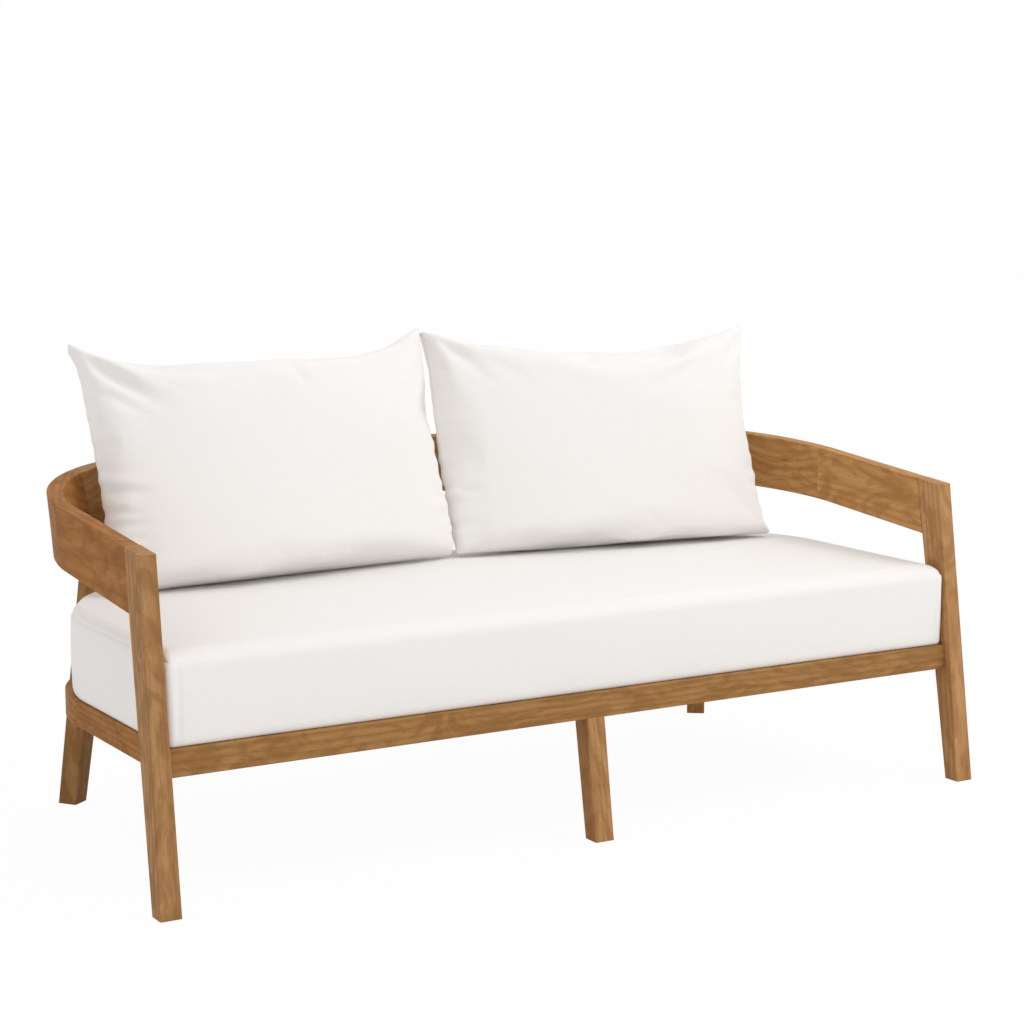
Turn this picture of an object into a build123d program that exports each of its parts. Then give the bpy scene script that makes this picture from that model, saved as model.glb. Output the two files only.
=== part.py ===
from build123d import *
import math
import os

# A two-seat patio loveseat in teak with loose cushions. Millimetres, +Z up, the floor at Z = 0.
# The seat faces -Y, +X is to the right of someone who stands in front of it, and the origin lies on
# the floor under the middle of the whole piece.

# Overall
overall_width = 1700.0  # across the outer faces of the front feet
overall_depth = 815.0  # from the front of the front feet to the back of the band
arm_height = 576.0  # top of the arm at the front of the front legs
back_height = 641.0  # top of the band at its rearmost edge
edge_ease = 2.0  # rounding of every long timber edge
cut_overrun = 60.0  # how far a cutting tool runs past what it cuts
seat_clearance = 0.3  # between a soft piece and the timber that it rests on

# Arm and back band
band_thickness = 29.0
band_height = 106.0
band_lean = 31.0  # how far the band's lower edge lies inside its upper edge, at the back
band_corner_radius = 391.0  # plan radius of the band's outer upper edge
band_corner_steps = 3  # sections between the two ends of one curved corner piece
band_joint_turns = (4.0, 45.0, 90.0)  # degrees round the corner where two pieces of the band meet

# Front legs
front_foot_width = 37.5
front_foot_depth = 35.5
front_top_depth = 64.5
front_leg_rake = 79.5  # how far the front face runs back from foot to top

# Middle leg, under the front rail
middle_leg_width = 38.0
middle_foot_depth = 35.5
middle_top_depth = 41.0
middle_leg_rake = 34.0  # from foot to the underside of the rail

# Back legs, square posts turned to face the rounded corners
back_foot_size = 37.5
back_head_size = 48.0  # at the height of the arms
back_leg_turn = 35.8  # degrees from straight back towards the side
back_leg_slope = 0.153  # run of the inner face for each unit of height
back_leg_tongue = 30.0  # how far the post rises behind the band's lower edge

# Seat frame
rail_top = 265.0
rail_height = 46.5
rail_thickness = 28.0
rail_setback = 47.5  # front rail's face behind the front of the front feet
rear_rail_setback = 63.5  # rear rail's face in front of the back of the band
rail_corner_inset = 89.0  # how much smaller the rails' corner radius is than the band's
tenon_length = 20.0
tenon_thickness = 12.0
tenon_height = 30.0

# Seat slats and what carries them
slat_count = 13
slat_width = 70.0
slat_thickness = 14.0
slat_end_gap = 1.0
cleat_size = 22.0
stretcher_width = 34.0
stretcher_height = 28.0
corner_block_side = 62.0
corner_block_height = 28.0

# Fasteners
band_dowel_radius = 5.0
band_dowel_length = 40.0
rail_dowel_radius = 4.0
rail_dowel_length = 36.0
rail_dowel_spacing = 22.0
screw_radius = 2.2
screw_head_radius = 4.4
screw_head_depth = 2.4
slat_screw_length = 32.0
cleat_screw_length = 40.0
corner_screw_turns = (12.0, 78.0)  # degrees round the corner
block_screw_length = 44.0
block_screw_share = 0.22  # of a corner block's side, from its middle to each screw
block_screw_cant = 0.2  # sideways run of these screws for each unit of their length
leg_bolt_radius = 4.0
leg_bolt_bite = 24.0  # length of the bolt inside the leg
leg_bolt_head_radius = 6.5
leg_bolt_head_height = 7.0
leg_bolt_seat_depth = 4.0  # how far the head's seat is cut into the corner cleat
leg_bolt_seat_radius = 8.5
insert_radius = 6.0
insert_length = 22.0
insert_depth = 4.5  # from the leg's face to the insert
glide_radius = 13.0
glide_height = 1.5
glide_pin_radius = 2.5
glide_pin_length = 14.0

# Seat cushion
seat_cushion_gap = 8.0  # at each side, to the inner face of a front leg
seat_cushion_setback = 7.0  # behind the face of the front rail
seat_cushion_rear_setback = 39.0  # in front of the face of the rear rail
seat_cushion_seam = 139.0  # height of the upper seam above the underside
seat_cushion_crown = 20.0  # rise of the top above that seam
seat_cushion_corner_inset = 12.0  # how much smaller its rear corner radius is than the rails'
seat_cushion_front_radius = 26.0
seat_cushion_pull_in = 4.0  # how far the front and the sides draw in between their corners
seat_cushion_soft_edge = 7.0
cover_thickness = 1.6
core_clearance = 0.3

# Back cushions
left_cushion_reach = 59.7  # outer end, past where the cushion's rear meets the band's corner
right_cushion_reach = 85.6
back_cushion_height = 456.0
back_cushion_thickness = 180.0
back_cushion_lean = 19.0  # degrees back from upright
right_cushion_yaw = 7.0  # degrees, outer end forward
left_cushion_yaw = 4.5
back_cushion_split = 25.5  # X of the line where the two cushions meet
back_cushion_part = 7.0  # between the two cushions
back_cushion_stand = 221.5  # from the back of the band to the cushions' lower inner corners
back_cushion_side_pull = 24.0
back_cushion_top_pull = 46.0
back_cushion_flat_inset = 150.0  # from the knife edge in to where the panel is flattest
back_cushion_seam_inset = 6.0  # from the knife edge to the filling

# Zips
seat_zip_length = 900.0
back_zip_length = 520.0
zip_tape_width = 12.0
zip_tape_thickness = 1.2
back_zip_inset = 7.0  # from the knife edge to the tape
slider_length = 9.0
slider_width = 8.0
slider_height = 3.0
slider_tab_length = 24.0
slider_tab_width = 5.0
slider_tab_thickness = 1.4
slider_gap = 0.3

# Levels and lines that follow from the sizes above
front_y = -overall_depth / 2
rear_y = overall_depth / 2
inner_half = overall_width / 2 - front_foot_width
band_half = inner_half + band_thickness
leg_face_top_y = front_y + front_leg_rake
leg_back_foot_y = front_y + front_foot_depth
leg_back_top_y = leg_face_top_y + front_top_depth
band_slope = (back_height - arm_height) / (rear_y - leg_face_top_y)
band_centre_x = band_half - band_corner_radius
band_centre_y = rear_y - band_corner_radius

rail_bottom = rail_top - rail_height
rail_middle = (rail_top + rail_bottom) / 2
rail_face_y = front_y + rail_setback
rail_back_y = rail_face_y + rail_thickness
frame_rear_y = rear_y - rear_rail_setback
rail_corner_radius = band_corner_radius - rail_corner_inset
frame_inner_rear_y = frame_rear_y - rail_thickness
side_inner_x = inner_half - rail_thickness
ring_centre_x = inner_half - rail_corner_radius
ring_centre_y = frame_rear_y - rail_corner_radius
ring_inner_radius = rail_corner_radius - rail_thickness
cleat_top = rail_top - slat_thickness
cleat_middle = cleat_top - cleat_size / 2
seat_cushion_depth = frame_rear_y - seat_cushion_rear_setback - rail_face_y - seat_cushion_setback
seat_cushion_rear_radius = rail_corner_radius - seat_cushion_corner_inset
back_cushion_foot = rear_y - back_cushion_stand


def band_top(y):
    """Height of the band's sloping upper face."""
    return arm_height + band_slope * (y - leg_face_top_y)


def ring(points):
    """A flat face through points in space, with its corners eased."""
    face = Face(Wire.make_polygon([Vector(*p) for p in points]))
    return face.fillet_2d(edge_ease, face.vertices())


def lofted(faces, ruled=True):
    """One solid through a row of flat faces."""
    return Solid.make_loft([face.outer_wire() for face in faces], ruled)


def block(low, high):
    """A square-cornered box between two corners."""
    size = [b - a for a, b in zip(low, high)]
    middle = [(a + b) / 2 for a, b in zip(low, high)]
    return Pos(*middle) * Box(*size)


def bar(low, high):
    """A timber bar between two corners, with the edges along its length eased."""
    solid = block(low, high)
    size = [b - a for a, b in zip(low, high)]
    along = [Axis.X, Axis.Y, Axis.Z][size.index(max(size))]
    return fillet(solid.edges().filter_by(along), edge_ease)


def pin(start, direction, length, radius):
    """A round pin from a point along a direction."""
    frame = Plane(origin=start, z_dir=direction)
    return frame * Cylinder(radius, length, align=(Align.CENTER, Align.CENTER, Align.MIN))


def screw(start, direction, length):
    """A countersunk screw whose flat head lies on the start point."""
    frame = Plane(origin=start, z_dir=direction)
    low = (Align.CENTER, Align.CENTER, Align.MIN)
    head = Cone(screw_head_radius, screw_radius, screw_head_depth, align=low)
    shank = Cylinder(screw_radius, length, align=low)
    return frame * (head + shank)


def mirrored(shape):
    return mirror(shape, about=Plane.YZ)


def ring_corner(outer, depth, low, high):
    """A quarter of a ring on the right, about the seat frame's corner centre."""
    ends = (
        (ring_centre_x + outer - depth, ring_centre_y, low),
        (ring_centre_x + outer, ring_centre_y, low),
        (ring_centre_x + outer, ring_centre_y, high),
        (ring_centre_x + outer - depth, ring_centre_y, high),
    )
    axis = Axis((ring_centre_x, ring_centre_y, low), (0, 0, 1))
    return Solid.revolve(ring(ends), 90, axis)


def slat_space():
    """Plan of the space inside the seat frame, less the gap at the slats' ends."""
    gap = slat_end_gap
    radius = ring_inner_radius - gap
    right = side_inner_x
    front = rail_back_y + gap
    top = ring_centre_y + radius
    bend = math.sqrt(0.5) * radius
    lines = [
        Line((-right, front), (right, front)),
        Line((right, front), (right, ring_centre_y)),
        Line((right, ring_centre_y), (ring_centre_x + radius, ring_centre_y)),
        ThreePointArc(
            (ring_centre_x + radius, ring_centre_y),
            (ring_centre_x + bend, ring_centre_y + bend),
            (ring_centre_x, top),
        ),
        Line((ring_centre_x, top), (-ring_centre_x, top)),
        ThreePointArc(
            (-ring_centre_x, top),
            (-ring_centre_x - bend, ring_centre_y + bend),
            (-ring_centre_x - radius, ring_centre_y),
        ),
        Line((-ring_centre_x - radius, ring_centre_y), (-right, ring_centre_y)),
        Line((-right, ring_centre_y), (-right, front)),
    ]
    outline = make_face(lines)
    return extrude(Pos(0, 0, cleat_top) * outline, slat_thickness)


def front_leg():
    """Right front leg: raked and tapered, its head cut to the slope of the arm."""
    reach = band_top(leg_back_top_y) + cut_overrun
    share = (reach - glide_height) / (arm_height - glide_height)
    outer_foot = overall_width / 2
    outer_top = outer_foot + (band_half - outer_foot) * share
    face_top = front_y + front_leg_rake * share
    back_top = leg_back_foot_y + (leg_back_top_y - leg_back_foot_y) * share
    foot = [
        (inner_half, front_y, glide_height),
        (outer_foot, front_y, glide_height),
        (outer_foot, leg_back_foot_y, glide_height),
        (inner_half, leg_back_foot_y, glide_height),
    ]
    head = [
        (inner_half, face_top, reach),
        (outer_top, face_top, reach),
        (outer_top, back_top, reach),
        (inner_half, back_top, reach),
    ]
    leg = lofted([ring(foot), ring(head)])
    return split(leg, bisect_by=head_plane(), keep=Keep.BOTTOM)


def head_plane():
    """The sloping plane of the band's upper face, facing up."""
    normal = Vector(0, -band_slope, 1)
    return Plane(origin=(0, leg_face_top_y, arm_height), z_dir=normal, x_dir=(1, 0, 0))


def leg_back_plane():
    """The plane of the front legs' rear faces, facing back."""
    run = leg_back_top_y - leg_back_foot_y
    rise = arm_height - glide_height
    normal = Vector(0, rise, -run)
    return Plane(origin=(0, leg_back_foot_y, glide_height), z_dir=normal, x_dir=(1, 0, 0))


def band_section(turn, x=None, y=None):
    """Section of the band where its path has turned by this many degrees from straight back."""
    out = Vector(math.cos(math.radians(turn)), math.sin(math.radians(turn)), 0)
    lean = band_lean * math.sin(math.radians(turn))
    centre = Vector(band_centre_x, band_centre_y, 0)
    edge = centre + out * band_corner_radius
    if x is not None:
        edge = Vector(x, edge.Y, 0)
    if y is not None:
        edge = Vector(edge.X, y, 0)
    plan = [edge, edge - out * band_thickness]
    plan += [edge - out * (lean + band_thickness), edge - out * lean]
    levels = [band_top(p.Y) for p in plan]
    levels[2] -= band_height
    levels[3] -= band_height
    return [(p.X, p.Y, z) for p, z in zip(plan, levels)]


def band_piece(turns):
    """A curved piece of the right rear corner, lofted through sections at these turns."""
    return lofted([ring(band_section(turn)) for turn in turns], ruled=False)


def turns_between(start, end):
    steps = band_corner_steps + 1
    return [start + (end - start) * i / steps for i in range(steps + 1)]


def arm():
    """Right arm: from its joint with the corner forward to the rear face of the front leg."""
    turns = (band_joint_turns[0], band_joint_turns[0] / 2, 0)
    ends = [band_section(turn) for turn in turns] + [band_section(0, y=leg_back_foot_y)]
    plank = lofted([ring(end) for end in ends])
    return split(plank, bisect_by=leg_back_plane(), keep=Keep.TOP)


def band_middle(section, share):
    """A point at half the band's thickness, this share of the way down from its top."""
    points = [Vector(*p) for p in section]
    top = (points[0] + points[1]) / 2
    low = (points[2] + points[3]) / 2
    return top + (low - top) * share


band_dowel_shares = (0.27, 0.73)


def band_dowels():
    """Dowels of the right half: front leg, arm, the two corner joints and the back piece."""
    pins = []
    for turn in band_joint_turns:
        along = Vector(-math.sin(math.radians(turn)), math.cos(math.radians(turn)), 0)
        for share in band_dowel_shares:
            middle = band_middle(band_section(turn), share)
            start = middle - along * (band_dowel_length / 2)
            pins.append(pin(start, along, band_dowel_length, band_dowel_radius))
    slope = (leg_back_top_y - leg_back_foot_y) / (arm_height - glide_height)
    for share in band_dowel_shares:
        level = arm_height - band_height * share
        face_y = leg_back_foot_y + slope * (level - glide_height)
        start = (inner_half + band_thickness / 2, face_y - band_dowel_length / 2, level)
        pins.append(pin(start, (0, 1, 0), band_dowel_length, band_dowel_radius))
    return pins


def back_leg_half(level):
    """Half the side of a back leg's square section at a level."""
    share = (level - glide_height) / (arm_height - glide_height)
    return (back_foot_size + (back_head_size - back_foot_size) * share) / 2


def leg_face_radial(level):
    """Distance of a back leg's inner face from the seat frame's corner centre, in plan."""
    return rail_corner_radius - back_leg_slope * (level - rail_bottom)


def leg_direction():
    """Plan direction from the right corner centre of the seat frame to the back leg."""
    turn = math.radians(back_leg_turn)
    return Vector(math.sin(turn), math.cos(turn), 0)


def leg_axis(level):
    centre = Vector(ring_centre_x, ring_centre_y, level)
    return centre + leg_direction() * (leg_face_radial(level) + back_leg_half(level))


def back_leg_post():
    """Right back leg before its housings are cut."""
    out = leg_direction()
    side = Vector(out.Y, -out.X, 0)
    signs = ((-1, -1), (1, -1), (1, 1), (-1, 1))
    faces = []
    for level in (glide_height, back_height):
        middle = leg_axis(level)
        half = back_leg_half(level)
        corners = [middle + out * a * half + side * b * half for a, b in signs]
        faces.append(ring([(c.X, c.Y, level) for c in corners]))
    post = lofted(faces)
    top = head_plane().offset(back_leg_tongue - band_height)
    return split(post, bisect_by=top, keep=Keep.BOTTOM)


def middle_leg_blank():
    """Middle leg before the front rail is housed in it."""
    half = middle_leg_width / 2
    face_foot = rail_face_y - middle_leg_rake
    rise = rail_bottom - glide_height
    share = (cleat_top - glide_height) / rise
    back_foot = face_foot + middle_foot_depth
    back_rake = rail_face_y + middle_top_depth - back_foot
    face_head = face_foot + middle_leg_rake * share
    back_head = back_foot + back_rake * share
    foot = [(-half, face_foot), (half, face_foot), (half, back_foot), (-half, back_foot)]
    head = [(-half, face_head), (half, face_head), (half, back_head), (-half, back_head)]
    faces = [
        ring([(x, y, glide_height) for x, y in foot]),
        ring([(x, y, cleat_top) for x, y in head]),
    ]
    return lofted(faces)


def front_rail_blank():
    """Front rail between the front legs, with a tenon into each."""
    rail = bar((-inner_half, rail_face_y, rail_bottom), (inner_half, rail_back_y, rail_top))
    middle_y = (rail_face_y + rail_back_y) / 2
    reach = inner_half + tenon_length
    low = (-reach, middle_y - tenon_thickness / 2, rail_middle - tenon_height / 2)
    high = (reach, middle_y + tenon_thickness / 2, rail_middle + tenon_height / 2)
    return rail + block(low, high)


def rail_dowels():
    """Dowels of the seat frame's right half: front rail, side rail, corner and rear rail."""
    middle_x = inner_half - rail_thickness / 2
    middle_y = frame_rear_y - rail_thickness / 2
    half = rail_dowel_length / 2
    pins = []
    for step in (-0.5, 0.5):
        level = rail_middle + rail_dowel_spacing * step
        front = (middle_x, rail_back_y - half, level)
        side = (middle_x, ring_centre_y - half, level)
        rear = (ring_centre_x - half, middle_y, level)
        pins.append(pin(front, (0, 1, 0), rail_dowel_length, rail_dowel_radius))
        pins.append(pin(side, (0, 1, 0), rail_dowel_length, rail_dowel_radius))
        pins.append(pin(rear, (1, 0, 0), rail_dowel_length, rail_dowel_radius))
    return pins


def corner_block():
    """Right front corner block, in the angle of the front rail and the side rail."""
    side = corner_block_side
    corner = [
        (side_inner_x, rail_back_y),
        (side_inner_x, rail_back_y + side),
        (side_inner_x - side, rail_back_y),
    ]
    outline = make_face(Polyline(*corner, close=True))
    return extrude(Pos(0, 0, cleat_top - corner_block_height) * outline, corner_block_height)


def block_screws():
    """Two screws through the right corner block, one into each rail."""
    level = cleat_top - corner_block_height / 2
    reach = corner_block_side / 2
    slant = Vector(side_inner_x - reach, rail_back_y + reach, level)
    step = Vector(1, 1, 0).normalized() * (corner_block_side * block_screw_share)
    to_side = screw(slant + step, Vector(1, -block_screw_cant, 0), block_screw_length)
    to_front = screw(slant - step, Vector(block_screw_cant, -1, 0), block_screw_length)
    return [to_side, to_front]


def slat_pitch():
    gap = (2 * side_inner_x - slat_count * slat_width) / (slat_count + 1)
    return slat_width + gap


def slat_centres():
    return [(i - (slat_count - 1) / 2) * slat_pitch() for i in range(slat_count)]


def slat_screws():
    """Two screws for each slat, one over the front cleat and one over the rear one."""
    radius = ring_inner_radius - cleat_size / 2
    pins = []
    for x in slat_centres():
        over = max(0.0, abs(x) - ring_centre_x)
        rear = ring_centre_y + math.sqrt(radius**2 - over**2)
        for y in (rail_back_y + cleat_size / 2, rear):
            pins.append(screw((x, y, rail_top), (0, 0, -1), slat_screw_length))
    return pins


def leg_bolt():
    """Bolt from the corner cleat through the rail into the right back leg, and its insert."""
    out = leg_direction()
    seat = ring_inner_radius - cleat_size + leg_bolt_seat_depth
    origin = Vector(ring_centre_x, ring_centre_y, cleat_middle)
    start = origin + out * (seat - leg_bolt_head_height)
    leg_face = leg_face_radial(cleat_middle)
    length = leg_face + leg_bolt_bite - seat + leg_bolt_head_height
    head = pin(start, out, leg_bolt_head_height, leg_bolt_head_radius)
    socket = pin(start, out, leg_bolt_head_height / 2, leg_bolt_radius * 0.8)
    bolt = head + pin(start, out, length, leg_bolt_radius) - socket
    well = pin(origin + out * (seat - cut_overrun), out, cut_overrun, leg_bolt_seat_radius)
    hole = pin(start, out, length, leg_bolt_radius)
    sleeve = pin(origin + out * (leg_face + insert_depth), out, insert_length, insert_radius) - hole
    return bolt, sleeve, well, hole


def cleat_screws():
    """Screws through the right half's cleats into the rails, midway between the slats."""
    pins = []
    margin = 2 * screw_head_radius
    middles = [x + slat_pitch() / 2 for x in slat_centres() if x + slat_pitch() / 2 > 0]
    for x in middles:
        if middle_leg_width / 2 + margin < x < side_inner_x - corner_block_side - margin:
            start = (x, rail_back_y + cleat_size, cleat_middle)
            pins.append(screw(start, (0, -1, 0), cleat_screw_length))
        if stretcher_width / 2 + margin < x < ring_centre_x - margin:
            start = (x, frame_inner_rear_y - cleat_size, cleat_middle)
            pins.append(screw(start, (0, 1, 0), cleat_screw_length))
    for turn in corner_screw_turns:
        out = Vector(math.cos(math.radians(turn)), math.sin(math.radians(turn)), 0)
        start = Vector(ring_centre_x, ring_centre_y, cleat_middle)
        start = start + out * (ring_inner_radius - cleat_size + screw_head_depth)
        pins.append(screw(start, out, cleat_screw_length))
    return pins


def glide(x, y):
    """A foot glide: a flat disc with a pin that is driven into the foot."""
    low = (Align.CENTER, Align.CENTER, Align.MIN)
    disc = Cylinder(glide_radius, glide_height, align=low)
    disc = fillet(disc.edges().group_by(Axis.Z)[0], glide_height / 3)
    nail = Cylinder(glide_pin_radius, glide_height + glide_pin_length, align=low)
    return Pos(x, y, 0) * (disc + nail)


def arc_between(start, end, bow):
    """A shallow arc from start to end that draws in by bow to its left, or a line."""
    if abs(bow) < core_clearance:
        return Line(start, end)
    a, b = Vector(*start), Vector(*end)
    left = Vector(-(b - a).Y, (b - a).X, 0).normalized()
    return ThreePointArc(a, (a + b) / 2 + left * bow, b)


def seat_outline(inset, pull):
    """Plan of the seat cushion, drawn in by inset, with sides that pull in between their corners."""
    half = inner_half - seat_cushion_gap - inset
    front = rail_face_y + seat_cushion_setback + inset
    rear = rail_face_y + seat_cushion_setback + seat_cushion_depth - inset
    r = seat_cushion_front_radius
    big = seat_cushion_rear_radius - inset
    bend = 1 - math.sqrt(0.5)
    edges = [
        arc_between((-half + r, front), (half - r, front), pull),
        ThreePointArc((half - r, front), (half - r * bend, front + r * bend), (half, front + r)),
        arc_between((half, front + r), (half, rear - big), pull * 0.5),
        ThreePointArc((half, rear - big), (half - big * bend, rear - big * bend), (half - big, rear)),
        Line((half - big, rear), (-half + big, rear)),
        ThreePointArc((-half + big, rear), (-half + big * bend, rear - big * bend), (-half, rear - big)),
        arc_between((-half, rear - big), (-half, front + r), pull * 0.5),
        ThreePointArc((-half, front + r), (-half + r * bend, front + r * bend), (-half + r, front)),
    ]
    return make_face(edges)


seat_crown_shares = ((0.0, 0.0), (0.35, 1.2), (0.68, 5.0), (0.9, 13.0), (1.0, 26.0))


def seat_cushion_form(wall):
    """The seat cushion, or its core when wall is the thickness of the cover around it."""
    low = rail_top + seat_clearance + wall
    seam = rail_top + seat_clearance + seat_cushion_seam
    soft = seat_cushion_soft_edge
    levels = [(low, soft / 2 + wall), (low + soft, wall), (seam - soft, wall)]
    for rise, run in seat_crown_shares[1:]:
        levels.append((seam - soft + (seat_cushion_crown + soft) * rise - wall, soft * run + wall))
    faces = [Pos(0, 0, z) * seat_outline(inset, seat_cushion_pull_in) for z, inset in levels]
    return lofted([face.face() for face in faces])


pillow_shares = ((0.0, 0.0), (0.26, 0.10), (0.56, 0.28), (0.82, 0.56), (1.0, 1.0))


def pillow_outline(width, depth, inset, rest, wall):
    """One section of a back cushion: four shallow arcs that meet in pointed ears."""
    half = width / 2 - inset - wall
    low = inset + wall
    high = back_cushion_height - inset - wall
    side = back_cushion_side_pull * rest
    top = back_cushion_top_pull * rest
    corners = [(-half, low), (half, low), (half, high), (-half, high)]
    bows = [0.0, side, top, side]
    edges = [arc_between(a, b, bow) for a, b, bow in zip(corners, corners[1:] + corners[:1], bows)]
    return (Pos(0, 0, depth) * make_face(edges)).face()


def pillow_half(width, sign, wall, seam):
    """Half of a back cushion, from its knife edge to its flattest part."""
    faces = []
    for deep, run in pillow_shares:
        depth = sign * deep * (back_cushion_thickness / 2 - wall)
        inset = back_cushion_flat_inset * run
        faces.append(pillow_outline(width, depth, inset, 1 - run, seam))
    if sign < 0:
        faces.reverse()
    return lofted(faces)


def pillow_form(width, wall, seam):
    """A back cushion in its own frame: X across, Y up its face, Z out of its front."""
    return pillow_half(width, -1, wall, seam) + pillow_half(width, 1, wall, seam)


def pillow_width(side, turn, reach):
    """Width of a back cushion whose outer end goes past the place where it meets the band."""
    radius = band_corner_radius - band_thickness - band_lean
    across = back_cushion_foot + back_cushion_thickness / 2 - band_centre_y
    meeting = band_centre_x + math.sqrt(radius**2 - across**2)
    inner = side * back_cushion_split + back_cushion_part / 2
    return (meeting + reach - inner) / math.cos(math.radians(turn))


def pillow_place(width, side, turn):
    """Where a back cushion stands: side is 1 for the right one and -1 for the left one.

    turn is its yaw in degrees, outer end forward.
    """
    yaw = math.radians(turn)
    lean = math.radians(back_cushion_lean)
    across = Vector(math.cos(yaw), -side * math.sin(yaw), 0)
    back = Vector(side * math.sin(yaw), math.cos(yaw), 0)
    up = back * math.sin(lean) + Vector(0, 0, math.cos(lean))
    out = across.cross(up)
    inner = Vector(back_cushion_split + side * back_cushion_part / 2, back_cushion_foot, pillow_foot_level)
    origin = inner + across * (side * width / 2)
    return Plane(origin=origin, x_dir=across, z_dir=out)


pillow_foot_level = rail_top + seat_clearance + seat_cushion_seam + seat_cushion_crown + seat_clearance


def back_zip():
    """Closed zip of a back cushion, flat on the lower rear facet, in the cushion's own frame."""
    depth = pillow_shares[1][0] * back_cushion_thickness / 2
    rise = pillow_shares[1][1] * back_cushion_flat_inset
    facet = Plane(origin=(0, 0, 0), x_dir=(1, 0, 0), z_dir=(0, -depth, -rise))
    low = (Align.CENTER, Align.MAX, Align.MIN)
    tape = Box(back_zip_length, zip_tape_width, zip_tape_thickness, align=low)
    return facet * Pos(0, -back_zip_inset, 0) * tape


def seat_zip():
    """Tape of the seat cushion's zip, across its rear face, and the slider that runs on it."""
    rear = rail_face_y + seat_cushion_setback + seat_cushion_depth
    level = rail_top + seat_clearance + seat_cushion_seam / 2
    on_face = (Align.CENTER, Align.MIN, Align.CENTER)
    tape = Pos(0, rear, level) * Box(seat_zip_length, zip_tape_thickness, zip_tape_width, align=on_face)
    x = -seat_zip_length / 2 + slider_length
    y = rear + zip_tape_thickness + slider_gap
    body = Pos(x, y, level) * Box(slider_length, slider_height, slider_width, align=on_face)
    hung = (Align.CENTER, Align.MIN, Align.MAX)
    tab = Box(slider_tab_width, slider_tab_thickness, slider_tab_length, align=hung)
    slider = body + Pos(x, y + slider_height, level + slider_tab_width / 2) * tab
    return tape, slider


# The seat frame
right_ring = ring_corner(rail_corner_radius, rail_thickness, rail_bottom, rail_top)
right_side = bar((side_inner_x, rail_back_y, rail_bottom), (inner_half, ring_centre_y, rail_top))
rear_low = (-ring_centre_x, frame_inner_rear_y, rail_bottom)
rear_high = (ring_centre_x, frame_rear_y, rail_top)
bolt, sleeve, well, bolt_hole = leg_bolt()

parts = {}
parts["front_rail"] = front_rail_blank()
parts["right_side_rail"] = right_side
parts["left_side_rail"] = mirrored(right_side)
parts["right_rail_corner"] = right_ring
parts["left_rail_corner"] = mirrored(right_ring)
parts["rear_rail"] = bar(rear_low, rear_high)

# The band
right_arm = arm()
corner_front = band_piece(turns_between(band_joint_turns[0], band_joint_turns[1]))
corner_rear = band_piece(turns_between(band_joint_turns[1], band_joint_turns[2]))
back_ends = [band_section(90), band_section(90, x=-band_centre_x)]
parts["right_arm"] = right_arm
parts["left_arm"] = mirrored(right_arm)
parts["right_corner_front"] = corner_front
parts["left_corner_front"] = mirrored(corner_front)
parts["right_corner_rear"] = corner_rear
parts["left_corner_rear"] = mirrored(corner_rear)
parts["back_band"] = lofted([ring(end) for end in back_ends])

# The legs, housed round the rails and the band
right_front = front_leg() - parts["front_rail"]
right_back = back_leg_post() - right_ring - corner_front - corner_rear
parts["right_front_leg"] = right_front
parts["left_front_leg"] = mirrored(right_front)
parts["right_back_leg"] = right_back
parts["left_back_leg"] = mirrored(right_back)
parts["middle_front_leg"] = middle_leg_blank() - parts["front_rail"]

# Cleats, stretcher, corner blocks and slats
cleat_low = cleat_top - cleat_size
cleat_outer = side_inner_x - corner_block_side
right_cleat = block(
    (middle_leg_width / 2, rail_back_y, cleat_low), (cleat_outer, rail_back_y + cleat_size, cleat_top)
)
rear_cleat = block(
    (stretcher_width / 2, frame_inner_rear_y - cleat_size, cleat_low),
    (ring_centre_x, frame_inner_rear_y, cleat_top),
)
corner_cleat = ring_corner(ring_inner_radius, cleat_size, cleat_low, cleat_top) - well
stretcher = block(
    (-stretcher_width / 2, rail_back_y, cleat_top - stretcher_height),
    (stretcher_width / 2, frame_inner_rear_y, cleat_top),
)
parts["right_front_cleat"] = right_cleat
parts["left_front_cleat"] = mirrored(right_cleat)
parts["right_corner_cleat"] = corner_cleat
parts["left_corner_cleat"] = mirrored(corner_cleat)
parts["centre_stretcher"] = stretcher - parts["middle_front_leg"]
parts["right_rear_cleat"] = rear_cleat
parts["left_rear_cleat"] = mirrored(rear_cleat)
parts["right_corner_block"] = corner_block()
parts["left_corner_block"] = mirrored(parts["right_corner_block"])

space = slat_space()
for number, x in enumerate(slat_centres(), 1):
    low = (x - slat_width / 2, rail_back_y, cleat_top)
    high = (x + slat_width / 2, frame_rear_y, rail_top)
    parts[f"seat_slat_{number:02d}"] = block(low, high) & space


def bored(name, tools):
    """Cut the holes of some fasteners in a piece."""
    for tool in tools:
        parts[name] = parts[name] - tool


def both(shapes):
    """Shapes of the right half with their mirror images."""
    return shapes + [mirrored(shape) for shape in shapes]


# Fasteners, and their holes
dowels = both(band_dowels())
for name in ("front_leg", "arm", "corner_front", "corner_rear"):
    bored("right_" + name, dowels[: len(dowels) // 2])
    bored("left_" + name, dowels[len(dowels) // 2 :])
bored("back_band", dowels)
parts["band_dowels"] = Compound(children=dowels)

rails = ("front_rail", "rear_rail", "right_side_rail", "left_side_rail")
rails += ("right_rail_corner", "left_rail_corner")
pegs = both(rail_dowels())
for name in rails:
    bored(name, pegs)
parts["rail_dowels"] = Compound(children=pegs)

deck_screws = slat_screws()
for number in range(1, slat_count + 1):
    bored(f"seat_slat_{number:02d}", deck_screws[2 * number - 2 : 2 * number])
carriers = ("right_front_cleat", "left_front_cleat", "right_rear_cleat", "left_rear_cleat")
carriers += ("right_corner_cleat", "left_corner_cleat", "right_corner_block", "left_corner_block")
carriers += ("centre_stretcher", "middle_front_leg")
for name in carriers:
    bored(name, deck_screws)
parts["slat_screws"] = Compound(children=deck_screws)

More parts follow.
